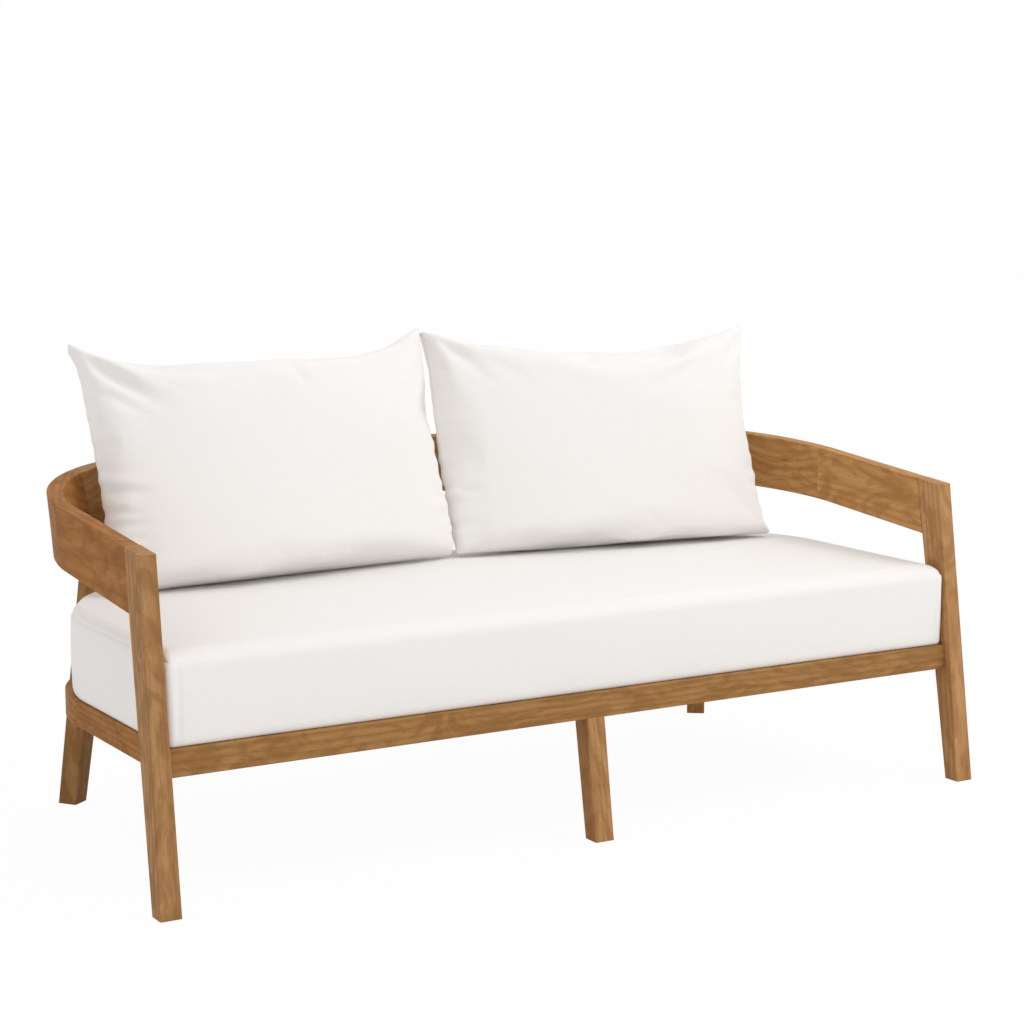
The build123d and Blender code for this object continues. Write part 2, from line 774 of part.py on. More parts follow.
rail_screws = both(cleat_screws() + block_screws())
for name in carriers + rails:
    bored(name, rail_screws)
parts["cleat_screws"] = Compound(children=rail_screws)

for name in ("corner_cleat", "rail_corner", "back_leg"):
    bored("right_" + name, [bolt_hole])
    bored("left_" + name, [mirrored(bolt_hole)])
bored("right_back_leg", [sleeve])
bored("left_back_leg", [mirrored(sleeve)])
parts["leg_bolts"] = Compound(children=both([bolt]))
parts["leg_inserts"] = Compound(children=both([sleeve]))

foot_x = overall_width / 2 - front_foot_width / 2
foot_y = front_y + front_foot_depth / 2
back_foot = leg_axis(0)
middle_foot_y = rail_face_y - middle_leg_rake + middle_foot_depth / 2
glides = [glide(x, y) for x, y in ((foot_x, foot_y), (-foot_x, foot_y), (0, middle_foot_y))]
glides += both([glide(back_foot.X, back_foot.Y)])
for name in ("right_front_leg", "left_front_leg", "middle_front_leg", "right_back_leg", "left_back_leg"):
    bored(name, glides)
parts["foot_glides"] = Compound(children=glides)

# Cushions
parts["seat_cushion_cover"] = seat_cushion_form(0.0) - seat_cushion_form(cover_thickness)
parts["seat_cushion_core"] = seat_cushion_form(cover_thickness + core_clearance)
fill_wall = cover_thickness + core_clearance
for side, turn, reach, name in (
    (1, right_cushion_yaw, right_cushion_reach, "right"),
    (-1, left_cushion_yaw, left_cushion_reach, "left"),
):
    width = pillow_width(side, turn, reach)
    place = pillow_place(width, side, turn)
    skin = pillow_form(width, 0.0, 0.0) - pillow_form(width, cover_thickness, back_cushion_seam_inset)
    fill = pillow_form(width, fill_wall, back_cushion_seam_inset + core_clearance)
    parts[f"{name}_back_cushion_cover"] = place * skin
    parts[f"{name}_back_cushion_filling"] = place * fill
    parts[f"{name}_back_cushion_zip"] = place * back_zip()
parts["seat_cushion_zip"], parts["seat_zip_slider"] = seat_zip()

os.makedirs("parts", exist_ok=True)
for name, shape in parts.items():
    export_step(shape, f"parts/{name}.step")
print(len(parts), "pieces written")
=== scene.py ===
# %% [markdown]
# A patio loveseat: a teak frame with one long seat cushion and two loose back cushions.
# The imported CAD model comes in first, in metres, with +Z up and the front facing -Y. Its timber
# keeps the CAD shapes. Everything soft is made again here, because cloth is what CAD shows worst.

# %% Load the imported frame
import math

import bpy
import numpy as np
from mathutils import Matrix, Vector


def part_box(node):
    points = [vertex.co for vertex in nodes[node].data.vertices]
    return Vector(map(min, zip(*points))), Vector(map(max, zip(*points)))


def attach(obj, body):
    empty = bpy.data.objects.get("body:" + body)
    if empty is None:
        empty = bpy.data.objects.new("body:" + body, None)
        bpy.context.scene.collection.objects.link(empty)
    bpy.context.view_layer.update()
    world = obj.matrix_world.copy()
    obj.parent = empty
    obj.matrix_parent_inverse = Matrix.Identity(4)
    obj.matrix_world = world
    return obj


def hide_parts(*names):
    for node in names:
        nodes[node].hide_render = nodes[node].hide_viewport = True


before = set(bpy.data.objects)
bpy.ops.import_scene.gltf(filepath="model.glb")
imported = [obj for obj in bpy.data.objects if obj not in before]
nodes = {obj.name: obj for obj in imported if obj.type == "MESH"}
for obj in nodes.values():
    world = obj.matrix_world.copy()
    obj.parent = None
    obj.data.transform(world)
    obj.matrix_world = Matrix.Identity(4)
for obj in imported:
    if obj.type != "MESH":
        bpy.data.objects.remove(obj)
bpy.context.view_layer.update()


def node_box(name):
    """Lowest and highest corner of a CAD node, to a hundredth of a millimetre."""
    return [[round(v, 5) for v in corner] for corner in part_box(name)]


# %% [markdown]
# The camera stands where the photographer stood: left of the sofa and a little above its arms.
# Three angles and one distance were fitted to points of the frame that show clearly, so the
# timber in the render falls on the timber in the picture.

# %% Camera
azimuth = math.radians(-31.358)
pitch = math.radians(8.57)
roll = math.radians(0.252)
camera_place = (-2.20935, -3.69694, 1.18896)
forward = Vector((
    -math.sin(azimuth) * math.cos(pitch),
    math.cos(azimuth) * math.cos(pitch),
    -math.sin(pitch),
))
level_right = Vector((math.cos(azimuth), math.sin(azimuth), 0))
level_up = level_right.cross(forward)
camera_right = level_right * math.cos(roll) + level_up * math.sin(roll)
camera_up = level_up * math.cos(roll) - level_right * math.sin(roll)
camera_data = bpy.data.cameras.new("photo_camera")
camera_data.lens = 81.49
camera_data.sensor_width = 36.0
camera_data.clip_end = 60.0
camera = bpy.data.objects.new("photo_camera", camera_data)
turn = Matrix((camera_right, camera_up, -forward)).transposed().to_4x4()
camera.matrix_world = Matrix.Translation(camera_place) @ turn
bpy.context.scene.collection.objects.link(camera)
bpy.context.scene.camera = camera
print("camera looks along", [round(v, 3) for v in forward])

# %% [markdown]
# A few small helpers carry every finish. Paint charts and pictures give colours as sRGB, while the
# renderer adds light in linear values, so one function translates them. Another adds a node and
# fills its sockets: a plain value is set, and another node or one of its outputs is linked.

# %% Colour and node helpers
def linear(code, shade=1.0):
    """Linear colour of an sRGB hex code: c/12.92 below 0.04045, else ((c+0.055)/1.055)^2.4."""
    values = [int(code[i : i + 2], 16) / 255 for i in (1, 3, 5)]
    curve = [v / 12.92 if v <= 0.04045 else ((v + 0.055) / 1.055) ** 2.4 for v in values]
    return tuple(min(v * shade, 1.0) for v in curve) + (1.0,)


def feed(tree, node, inputs):
    """Fills sockets of a node with values, with outputs, or with the first output of a node."""
    for name, value in inputs.items():
        if isinstance(value, bpy.types.Node):
            value = value.outputs[0]
        if isinstance(value, bpy.types.NodeSocket):
            tree.links.new(value, node.inputs[name])
        else:
            node.inputs[name].default_value = value


def add_node(tree, kind, inputs=None, **settings):
    """Adds one node: settings are its attributes, inputs are what its sockets are fed."""
    node = tree.nodes.new(kind)
    for name, value in settings.items():
        setattr(node, name, value)
    feed(tree, node, inputs or {})
    return node


def new_finish(name):
    """An empty material, with its node tree and its surface shader."""
    material = bpy.data.materials.new(name)
    material.use_nodes = True
    tree = material.node_tree
    return material, tree, tree.nodes["Principled BSDF"]


def ramp_stops(node, stops):
    """Gives a colour ramp these stops: pairs of a position and a colour."""
    line = node.color_ramp.elements
    while len(line) < len(stops):
        line.new(0.5)
    for stop, (position, colour) in zip(line, stops):
        stop.position = position
        stop.color = colour


def wear(name, material):
    """Puts a finish on every slot of a CAD node."""
    for slot in nodes[name].material_slots:
        slot.material = material


print("helpers ready")

# %% [markdown]
# The room is a white studio: a pale floor that fades out, an even sky of light, and one large
# soft lamp above the front right corner. That lamp is why the faces turned left lie in shade in
# the picture. The floor shows the camera mostly its own paper white, and keeps a faint shadow.

# %% Studio
own_white = 0.96  # share of the floor that a direct look sees as plain white
sky_level = 0.89


def seen_directly(tree):
    """1 for rays from the camera, off a gloss or through glass, and 0 for scattered light."""
    path = add_node(tree, "ShaderNodeLightPath")
    direct = path.outputs["Is Camera Ray"]
    for kind in ("Is Glossy Ray", "Is Transmission Ray"):
        pair = {0: direct, 1: path.outputs[kind]}
        direct = add_node(tree, "ShaderNodeMath", pair, operation="MAXIMUM")
    return direct


def paper_floor():
    """White sweep: diffuse paper, seen directly as mostly its own white plus its shadows."""
    material, tree, shader = new_finish("studio_paper")
    tree.nodes.remove(shader)
    share = add_node(tree, "ShaderNodeMath", {0: seen_directly(tree), 1: own_white}, operation="MULTIPLY")
    paper = add_node(tree, "ShaderNodeBsdfDiffuse", {"Color": linear("#f2f2f2")})
    white = add_node(tree, "ShaderNodeEmission", {"Color": (1, 1, 1, 1), "Strength": 1.0})
    both = add_node(tree, "ShaderNodeMixShader", {0: share, 1: paper, 2: white})
    feed(tree, tree.nodes["Material Output"], {"Surface": both})
    return material


def sweep_mesh(reach):
    """A square of floor, reach metres each way from the origin."""
    mesh = bpy.data.meshes.new("studio_floor")
    corners = [(-reach, -reach, 0), (reach, -reach, 0), (reach, reach, 0), (-reach, reach, 0)]
    mesh.from_pydata(corners, [], [(0, 1, 2, 3)])
    return mesh


floor = bpy.data.objects.new("studio_floor", sweep_mesh(25.0))
floor.data.materials.append(paper_floor())
bpy.context.scene.collection.objects.link(floor)

world = bpy.data.worlds.new("studio_sky")
world.use_nodes = True
sky = world.node_tree
strength = add_node(sky, "ShaderNodeMapRange", {
    "Value": seen_directly(sky), "To Min": sky_level, "To Max": 1.0,
})
feed(sky, sky.nodes["Background"], {"Color": (1, 1, 1, 1), "Strength": strength})
bpy.context.scene.world = world


def soft_lamp(name, place, aim, size, power):
    """A square area lamp at a place, turned towards a point."""
    lamp = bpy.data.lights.new(name, "AREA")
    lamp.size = size
    lamp.energy = power
    holder = bpy.data.objects.new(name, lamp)
    holder.location = place
    holder.rotation_euler = (Vector(aim) - Vector(place)).to_track_quat("-Z", "Y").to_euler()
    bpy.context.scene.collection.objects.link(holder)


soft_lamp("key_lamp", place=(3.2, -2.6, 5.4), aim=(0.0, 0.0, 0.4), size=3.0, power=120.0)
bpy.context.scene.view_settings.view_transform = "Standard"
print("sky at", sky_level, "and one key lamp")

# %% [markdown]
# Teak with an oiled, satin face. Growth rings pass through a board as long thin shells, so a face
# sawn along them shows slow wavy figure, and a face sawn across them shows straight lines. The
# finish is built the same way: rings round a far-off heart line that runs along each board, which
# the flat and curved faces of the CAD pieces then cut by themselves. Short dark pores and fine
# fibre lie on top. Each board gets its own heart line and its own shade, as boards from different
# planks have, and where two of them meet the joint shows, as it does in the picture. Some shades
# also hold painted light: the front rail, the left back leg and the left outer boards are darker
# for the shade on them, and the front legs greyer for the sheen on their lit fronts.

# %% Teak
ring_spacing = 0.012  # real rings are 3 to 6 mm; drawn wider so that they show from 4 m away
ring_period = 0.314  # spacing of the wave texture's rings at a scale of 1
fibre_width = 0.0022  # real fibre is finer than a pixel; drawn as fine streaks
pore_width = 0.0011
cloud_scale = 15.0  # a lighter or darker cloud every 67 mm or so across a board
draws = (0.2, 0.45, 0.035)  # how much slower rings, clouds and fibre change along a board
runout = 0.03  # how far the heart line leaves the board for each metre, which draws the arches
board_shift = 0.37  # carries each board on to another part of the pattern
board_spread = (3.7, 0.11)  # how far one unit of it moves the pattern along and across, in metres
heart_aside = 0.02  # how far the first board's heart line lies beside its middle


def board_axes(along, face):
    """Three unit vectors of a board: its length, its width, and the normal of its sawn face."""
    length = Vector(along).normalized()
    normal = Vector(face)
    normal = (normal - length * normal.dot(length)).normalized()
    length = (length + normal * runout).normalized()
    normal = (normal - length * normal.dot(length)).normalized()
    return length, normal.cross(length), normal


# Four browns for each kind of plank: earlywood, body, ring line and cloud; deep also holds painted shade,
# pale a painted sheen
plank_browns_and_painted_light = {
    "honey": ("#c4925a", "#b88750", "#ab7b47", "#996937"),
    "pale": ("#bc8f60", "#b08253", "#a4774a", "#92653b"),
    "deep": ("#ad763b", "#a06a31", "#955f29", "#82501e"),
}
print("rings every", ring_spacing * 1000, "mm, browns for", len(plank_browns_and_painted_light), "kinds of plank")

# %% Teak finish
def teak(name, along, face, middle, shade=1.0, heart=0.07, tone_and_painted_light="honey", offset=0.0):
    """Satin teak for one board.

    The rings are circles of radius r about a line along the board, heart metres under its face;
    the brown follows the saw wave r / ring_spacing + slow noise. Fibre is noise stretched along
    the board, and the pores are its darkest specks.
    """
    material, tree, shader = new_finish(name)
    length, width, normal = board_axes(along, face)
    turned = Matrix((length, width, normal))
    spread = Vector((offset * board_spread[0], offset * board_spread[1] - heart_aside, heart))
    shift = spread - turned @ Vector(middle)
    spot = add_node(tree, "ShaderNodeTexCoord")
    board = add_node(tree, "ShaderNodeMapping", {
        "Vector": spot.outputs["Object"], "Location": shift, "Rotation": turned.to_euler(),
    })
    drawn, cloud_draw, long_draw = [
        add_node(tree, "ShaderNodeVectorMath", {0: board, 1: (run, 1, 1)}, operation="MULTIPLY")
        for run in draws
    ]
    rings = add_node(tree, "ShaderNodeTexWave", {
        "Vector": drawn,
        "Scale": ring_period / ring_spacing,
        "Distortion": 11.0,
        "Detail": 2.0,
        "Detail Scale": 0.32,
        "Detail Roughness": 0.5,
    }, wave_type="RINGS", rings_direction="X", wave_profile="SAW")
    light, main, dark, deep = [linear(code, shade) for code in plank_browns_and_painted_light[tone_and_painted_light]]
    figure = add_node(tree, "ShaderNodeValToRGB", {"Fac": rings.outputs["Fac"]})
    ramp_stops(figure, [(0.0, main), (0.35, light), (0.7, main), (0.9, dark), (1.0, main)])
    slow, fibre, pores = [
        add_node(tree, "ShaderNodeTexNoise", {
            "Vector": draw, "Scale": scale, "Detail": detail, "Roughness": rough, "Distortion": bent,
        })
        for draw, scale, detail, rough, bent in (
            (cloud_draw, cloud_scale, 2.0, 0.45, 3.2),
            (long_draw, 1.0 / fibre_width, 2.0, 0.6, 0.0),
            (long_draw, 1.0 / pore_width, 1.0, 0.5, 0.0),
        )
    ]
    clouds, streaks, pore_mask, satin = [
        add_node(tree, "ShaderNodeMapRange", {
            "Value": noise, "From Min": low, "From Max": high, "To Min": least, "To Max": most,
        })
        for noise, low, high, least, most in (
            (slow, 0.42, 0.62, 0.0, 0.58),
            (fibre, 0.35, 0.68, 0.0, 0.26),
            (pores, 0.60, 0.72, 0.0, 1.0),
            (fibre, 0.3, 0.7, 0.52, 0.68),
        )
    ]
    speckled = add_node(tree, "ShaderNodeMath", {0: pore_mask, 1: 0.4}, operation="MULTIPLY")
    wood = figure.outputs["Color"]
    for share, brown in ((streaks, dark), (clouds, deep), (speckled, linear("#5c3a20", shade))):
        mixed = add_node(tree, "ShaderNodeMix", {0: share, 6: wood, 7: brown}, data_type="RGBA")
        wood = mixed.outputs[2]
    relief = add_node(tree, "ShaderNodeMath", {0: fibre, 1: speckled}, operation="SUBTRACT")
    bump = add_node(tree, "ShaderNodeBump", {"Height": relief, "Strength": 0.35, "Distance": 0.0006})
    feed(tree, shader, {
        "Base Color": wood, "Roughness": satin, "IOR": 1.5, "Specular IOR Level": 0.12, "Normal": bump,
    })
    return material


def middle_of(name):
    """The middle of a CAD node's box."""
    low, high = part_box(name)
    return (Vector(low) + Vector(high)) / 2


print("teak ready")

# %% [markdown]
# Which way each board runs. The grain goes along a piece, and a curved piece is sawn from a
# straight plank, so its grain follows its chord. The list gives the length direction and the
# sawn face for the right half, and the left half mirrors it with its own shade.

# %% Grain of each board
band_rise = 0.0884  # climb of the arm band for each metre back
face_tilt = 0.15  # how far the sawn faces of its boards look up
front_rake = 0.138  # run of the front legs for each metre up
leg_turn = math.radians(35.8)
leg_out = (math.sin(leg_turn), math.cos(leg_turn))
leg_run = -0.153


def arc_board(degrees):
    """Length and face of a board of the band whose middle has turned by these degrees."""
    angle = math.radians(degrees)
    along = (-math.sin(angle), math.cos(angle), band_rise * math.cos(angle))
    return along, (math.cos(angle), math.sin(angle), face_tilt)


# Each entry: length direction, face normal, shade of the right and of the left one, heart depth
side_boards = {
    "arm": (*arc_board(0), 1.00, 0.98, 0.055),
    "corner_front": (*arc_board(24.5), 0.93, 0.95, 0.085),
    "corner_rear": (*arc_board(67.5), 1.02, 0.90, 0.06),
    "front_leg": ((0, front_rake, 1), (1, 0, 0), 1.03, 0.89, 0.05),
    # The left back leg's 0.62 is partly painted shade: it stands for the shade on its inner face
    "back_leg": ((leg_out[0] * leg_run, leg_out[1] * leg_run, 1), (*leg_out, 0), 0.80, 0.62, 0.06),
    "side_rail": ((0, 1, 0), (1, 0, 0), 0.98, 0.94, 0.07),
    "rail_corner": ((-1, 1, 0), (1, 1, 0), 0.9, 0.95, 0.05),
}
# deep is partly painted shade: it darkens left boards whose faces turned from the lamp lie in shade
plank_tones_and_painted_light = {
    # pale is partly a painted sheen: its greyer browns stand for the milky gloss on the front legs
    "left_front_leg": "pale",
    "right_front_leg": "pale",
    "middle_front_leg": "pale",
    "left_arm": "deep",
    "left_corner_front": "deep",
    "left_side_rail": "deep",
    "left_rail_corner": "deep",
}
boards = []
for piece, (along, face, right_shade, left_shade, heart) in side_boards.items():
    for side, flip, shade in (("right", 1, right_shade), ("left", -1, left_shade)):
        mirrored = [(way[0] * flip, way[1], way[2]) for way in (along, face)]
        boards.append((f"{side}_{piece}", *mirrored, shade, heart))
boards += [
    ("back_band", (1, 0, 0), (0, 1, 0.3), 0.98, 0.06),
    # The front rail's 0.74 is painted shade: it darkens the rail as the shadow under the seat cushion
    # does
    ("front_rail", (1, 0, 0), (0, -1, 0), 0.74, 0.045),
    ("rear_rail", (1, 0, 0), (0, 1, 0), 0.95, 0.06),
    ("middle_front_leg", (0, 0.1, 1), (0, -1, 0), 1.0, 0.05),
]
for number, (node, along, face, shade, heart) in enumerate(boards):
    tone_and_painted_light = plank_tones_and_painted_light.get(node, "honey")
    place = middle_of(node)
    wear(node, teak(f"teak_{node}", along, face, place, shade, heart, tone_and_painted_light, number * board_shift))
print(len(boards), "boards with their own grain")

# %% [markdown]
# The timber under the cushion is the same wood, planed but not oiled: slats that run front to
# back, and cleats and blocks that carry them. One finish serves all slats, because each lies at
# another place and so cuts another part of the same figure.

# %% Inner timber
slat_finish = teak("teak_slats", (0, 1, 0), (0, 0, 1), (0, 0, 0.258), 1.04, 0.09)
cleat_finish = teak("teak_cleats", (1, 0, 0), (0, 0, 1), (0, 0, 0.24), 0.92, 0.05)
inner = [name for name in nodes if "slat" in name and "screw" not in name]
for name in inner + ["centre_stretcher"]:
    wear(name, slat_finish)
carriers = [name for name in nodes if "cleat" in name and "screw" not in name]
carriers += ["left_corner_block", "right_corner_block"]
for name in carriers:
    wear(name, cleat_finish)
print(len(inner), "slats,", len(carriers), "cleats and blocks")

# %% [markdown]
# Small hardware. Beech dowels are paler and plainer than teak. The screws and bolts are stainless
# steel, turned, so their light is drawn into fine rings. The inserts are brass, and the glides
# under the feet are dark nylon with the faint grain of a moulding tool.

# %% Hardware finishes
tool_mark = 0.0004  # real turning marks are finer; drawn coarser so that a close view shows them
mould_grain = 0.000625


def fine_marks(name, colour, size, dark, low, relief):
    """A finish whose colour and relief both follow one fine noise, with marks of a size in metres.

    The colour is dark times itself up to the noise level low, and full from 0.7 on. The relief is
    the strength and the height of the bump.
    """
    material, tree, shader = new_finish(name)
    spot = add_node(tree, "ShaderNodeTexCoord")
    marks = add_node(tree, "ShaderNodeTexNoise", {
        "Vector": spot.outputs["Object"], "Scale": 1.0 / size, "Detail": 2.0,
    })
    tint = add_node(tree, "ShaderNodeValToRGB", {"Fac": marks})
    ramp_stops(tint, [(low, linear(colour, dark)), (0.7, linear(colour))])
    bump = add_node(tree, "ShaderNodeBump", {
        "Height": marks, "Strength": relief[0], "Distance": relief[1],
    })
    feed(tree, shader, {"Base Color": tint, "Normal": bump})
    return material, tree, shader, marks


def turned_metal(name, colour, roughness):
    """Turned metal: full metal, with fine uneven tool marks in its roughness."""
    material, tree, shader, marks = fine_marks(name, colour, tool_mark, 0.86, 0.3, (0.2, 0.00005))
    spread = add_node(tree, "ShaderNodeMapRange", {
        "Value": marks, "To Min": roughness - 0.08, "To Max": roughness + 0.12,
    })
    feed(tree, shader, {"Metallic": 1.0, "Roughness": spread})
    return material


def moulded_nylon(name, colour):
    """Moulded nylon: a soft sheen over the fine grain of the tool."""
    material, tree, shader, _ = fine_marks(name, colour, mould_grain, 0.8, 0.35, (0.3, 0.0001))
    feed(tree, shader, {"Roughness": 0.55})
    return material


steel = turned_metal("stainless_turned", "#c9c7c2", 0.34)
brass = turned_metal("brass_turned", "#c8a45a", 0.36)
nylon = moulded_nylon("nylon_glide", "#2e2b28")
beech = teak("beech_dowels", (1, 0, 0), (0, 0, 1), (0, 0, 0.3), 1.5, 0.02)
for name in ("slat_screws", "cleat_screws", "leg_bolts"):
    wear(name, steel)
wear("leg_inserts", brass)
wear("foot_glides", nylon)
wear("band_dowels", beech)
wear("rail_dowels", beech)
print("steel, brass, nylon and beech on their nodes")

# %% [markdown]
# The cover cloth is a white outdoor canvas, spun from acrylic and woven plain: each thread goes
# over one and under the next. From across a room it reads as a matt, slightly warm white with no
# gloss at all, and close up as a grid of small cushions of thread. The weave is drawn from the
# cloth's own UV map, in metres, so it turns with each panel, as cut cloth does.

# %% Canvas
thread_spacing = 0.0016  # real threads are 0.5 mm apart; drawn coarser so that a close view shows them
slub_scale = 90.0  # a thicker or thinner stretch of thread every 11 mm or so


def plain_weave(tree, spacing):
    """Height of a plain weave: |sin| across the thread that is on top in each square."""
    cloth = add_node(tree, "ShaderNodeUVMap", uv_map="cloth")
    counted = add_node(tree, "ShaderNodeVectorMath", {
        0: cloth, "Scale": 1.0 / spacing,
    }, operation="SCALE")
    over = add_node(tree, "ShaderNodeTexChecker", {"Vector": counted, "Scale": 1.0})
    parts = add_node(tree, "ShaderNodeSeparateXYZ", {0: counted})
    humps = []
    for axis in ("X", "Y"):
        turn = {0: parts.outputs[axis], 1: math.pi}
        angle = add_node(tree, "ShaderNodeMath", turn, operation="MULTIPLY")
        wave = add_node(tree, "ShaderNodeMath", {0: angle}, operation="SINE")
        humps.append(add_node(tree, "ShaderNodeMath", {0: wave}, operation="ABSOLUTE"))
    height = add_node(tree, "ShaderNodeMix", {0: over.outputs["Fac"], 2: humps[0], 3: humps[1]})
    return cloth, height


def canvas(name, colour, spacing):
    """Matt woven canvas: the weave lifts the surface, and painted shade darkens it between the threads.
    """
    material, tree, shader = new_finish(name)
    cloth, weave = plain_weave(tree, spacing)
    slub = add_node(tree, "ShaderNodeTexNoise", {
        "Vector": cloth, "Scale": slub_scale, "Detail": 4.0, "Roughness": 0.6,
    })
    # Painted shade: where the weave is low, between the threads, the cloth is mixed towards a darker
    # white
    between = add_node(tree, "ShaderNodeMapRange", {
        "Value": weave, "From Max": 0.6, "To Min": 0.07, "To Max": 0.0,
    })
    uneven = add_node(tree, "ShaderNodeMapRange", {
        "Value": slub, "From Min": 0.3, "From Max": 0.7, "To Max": 0.05,
    })
    # This carries both the painted shade between threads and the slub's own uneven tone
    mixed = add_node(tree, "ShaderNodeMath", {0: between, 1: uneven}, operation="ADD")
    tint = add_node(tree, "ShaderNodeMix", {
        0: mixed, 6: linear(colour), 7: linear(colour, 0.62),
    }, data_type="RGBA")
    height = add_node(tree, "ShaderNodeMath", {
        0: slub, 1: 0.6, 2: weave,
    }, operation="MULTIPLY_ADD")
    bump = add_node(tree, "ShaderNodeBump", {"Height": height, "Strength": 0.4, "Distance": 0.00022})
    feed(tree, shader, {
        "Base Color": tint.outputs[2],
        "Roughness": 0.92,
        "Specular IOR Level": 0.25,
        "Sheen Weight": 0.12,
        "Sheen Roughness": 0.5,
        "Normal": bump,
    })
    return material


white_canvas = canvas("acrylic_canvas_white", "#f0edea", thread_spacing)
print("canvas with a thread every", thread_spacing * 1000, "mm")

# %% [markdown]
# A mesh here is always points, faces, and the cloth position of each corner. One function puts
# them into Blender, so that every surface below is only arithmetic.

# %% From arrays to a mesh
def surface(name, points, faces, finish, cloth=None, smooth=True):
    """A new piece: points (n, 3), faces as rows of point numbers, cloth (corners, 2) in metres."""
    mesh = bpy.data.meshes.new(name)
    mesh.from_pydata(points.tolist(), [], faces.tolist() if isinstance(faces, np.ndarray) else faces)
    mesh.polygons.foreach_set("use_smooth", np.full(len(faces), smooth))
    if cloth is not None:
        layer = mesh.uv_layers.new(name="cloth")
        layer.data.foreach_set("uv", cloth.astype(np.float32).ravel())
    mesh.materials.append(finish)
    mesh.update()
    piece = bpy.data.objects.new(name, mesh)
    bpy.context.scene.collection.objects.link(piece)
    return piece


def grid_faces(index, closed=False):
    """Four-cornered faces of a grid of point numbers; a closed grid comes round to its start."""
    if closed:
        index = np.concatenate([index, index[:, :1]], 1)
    corners = (index[:-1, :-1], index[1:, :-1], index[1:, 1:], index[:-1, 1:])
    return np.stack(corners, -1).reshape(-1, 4)


def rounder(piece, levels=1):
    """Finishes a piece with a subdivision surface."""
    smooth = piece.modifiers.new("rounder", "SUBSURF")
    smooth.levels = levels
    smooth.render_levels = levels


def smoothstep(values):
    """3t^2 - 2t^3 on values held between 0 and 1."""
    held = np.clip(values, 0.0, 1.0)
    return held * held * (3.0 - 2.0 * held)


def sampled(wanted, places, values):
    """Rows of values, known at some places, read off between them at the wanted ones."""
    return np.stack([np.interp(wanted, places, values[:, k]) for k in range(3)], -1)


print("surface maker ready")

# %% [markdown]
# The back cushions are two flat panels of canvas sewn together round the edge and stuffed. That
# is exactly how they are made here: the flat shape is cut a little larger than the finished one,
# and the cloth solver blows it up with a steady pressure. The edge is then too long for the
# stuffed shape, so it draws in between the corners, the corners stay behind as pointed ears, and
# small puckers form along the seam. None of that has to be drawn by hand.

# %% Two panels sewn together
pillow_step = 0.0085
swell_half = 0.02  # half the distance between the panels before they are blown up
ripple_height = 0.0012
whole_turn = 6.28


def sewn_panels(width, height, seed):
    """Two rectangles joined round their border, barely apart, with a seeded ripple.

    z = +-swell_half (1 - u^4) (1 - v^4) + a dozen small sine waves, for u and v from -1 to 1.
    Returns the points, the point numbers of the front and of the back panel, u and v.
    """
    count_u = int(round(width / pillow_step)) + 1
    count_v = int(round(height / pillow_step)) + 1
    u, v = np.meshgrid(np.linspace(-1, 1, count_u), np.linspace(-1, 1, count_v), indexing="ij")
    draw = np.random.default_rng(seed)
    waves = draw.uniform(2, 9, (12, 2))
    phases = draw.uniform(0, whole_turn, (12, 2))
    weights = draw.uniform(-1, 1, 12) * ripple_height
    ripple = sum(
        w * np.sin(a[0] * u + p[0]) * np.sin(a[1] * v + p[1])
        for w, a, p in zip(weights, waves, phases)
    )
    swell = swell_half * (1 - u**4) * (1 - v**4)
    inside = np.zeros((count_u, count_v), bool)
    inside[1:-1, 1:-1] = True
    front = np.arange(count_u * count_v).reshape(count_u, count_v)
    back = front.copy()
    back[inside] = front.size + np.arange(inside.sum())
    x = u * width / 2
    y = (v + 1) * height / 2
    near = np.stack([x, y, swell + ripple * inside], -1).reshape(-1, 3)
    far = np.stack([x, y, -swell + ripple], -1)[inside]
    return np.concatenate([near, far]), front, back, u, v


print("panels about", pillow_step * 1000, "mm fine, ready to sew")

# %% Air pressure
cloth_rules = {
    "quality": 5,
    "mass": 0.3,
    "tension_stiffness": 40.0,
    "compression_stiffness": 20.0,
    "shear_stiffness": 20.0,
    "bending_stiffness": 0.5,
    "tension_damping": 5.0,
    "compression_damping": 5.0,
    "shear_damping": 5.0,
    "use_pressure": True,
}


def pressed(piece, frames, pressure):
    """Runs the cloth solver on a piece with air pressure and no gravity; returns its points."""
    scene = bpy.context.scene
    cloth = piece.modifiers.new("cloth", "CLOTH")
    for name, value in cloth_rules.items():
        setattr(cloth.settings, name, value)
    cloth.settings.uniform_pressure_force = pressure
    cloth.settings.effector_weights.gravity = 0.0
    cloth.collision_settings.use_collision = False
    cloth.point_cache.frame_end = frames
    for number in range(1, frames + 1):
        scene.frame_set(number)
    solved = piece.evaluated_get(bpy.context.evaluated_depsgraph_get())
    points = np.empty(len(piece.data.vertices) * 3)
    solved.data.vertices.foreach_get("co", points)
    piece.modifiers.remove(cloth)
    scene.frame_set(1)
    return points.reshape(-1, 3)


print("cloth solver set to", cloth_rules["quality"], "steps for each frame")

# %% [markdown]
# The solver gives a natural cushion, but not quite this one's size. Its four ears are carried to
# the corners that the frame gives, its depth is scaled to the real one, and its lower seam is let
# down on to the seat. Of the other edges only the slow part changes, and the solver's puckers
# stay on them.

# %% Slow part of a line
def even_line(share, values):
    """The slow part of a line: a polynomial of degree 6 through its points."""
    return np.polyval(np.polyfit(share, values, 6), share)


def running_mean(values, reach):
    """Mean over 2 reach + 1 neighbours along the first axis, with the ends held."""
    padded = np.concatenate([values[:1].repeat(reach, 0), values, values[-1:].repeat(reach, 0)])
    total = np.cumsum(np.concatenate([np.zeros_like(padded[:1]), padded]), 0)
    return (total[2 * reach + 1 :] - total[: -2 * reach - 1]) / (2 * reach + 1)


print("line tools ready")

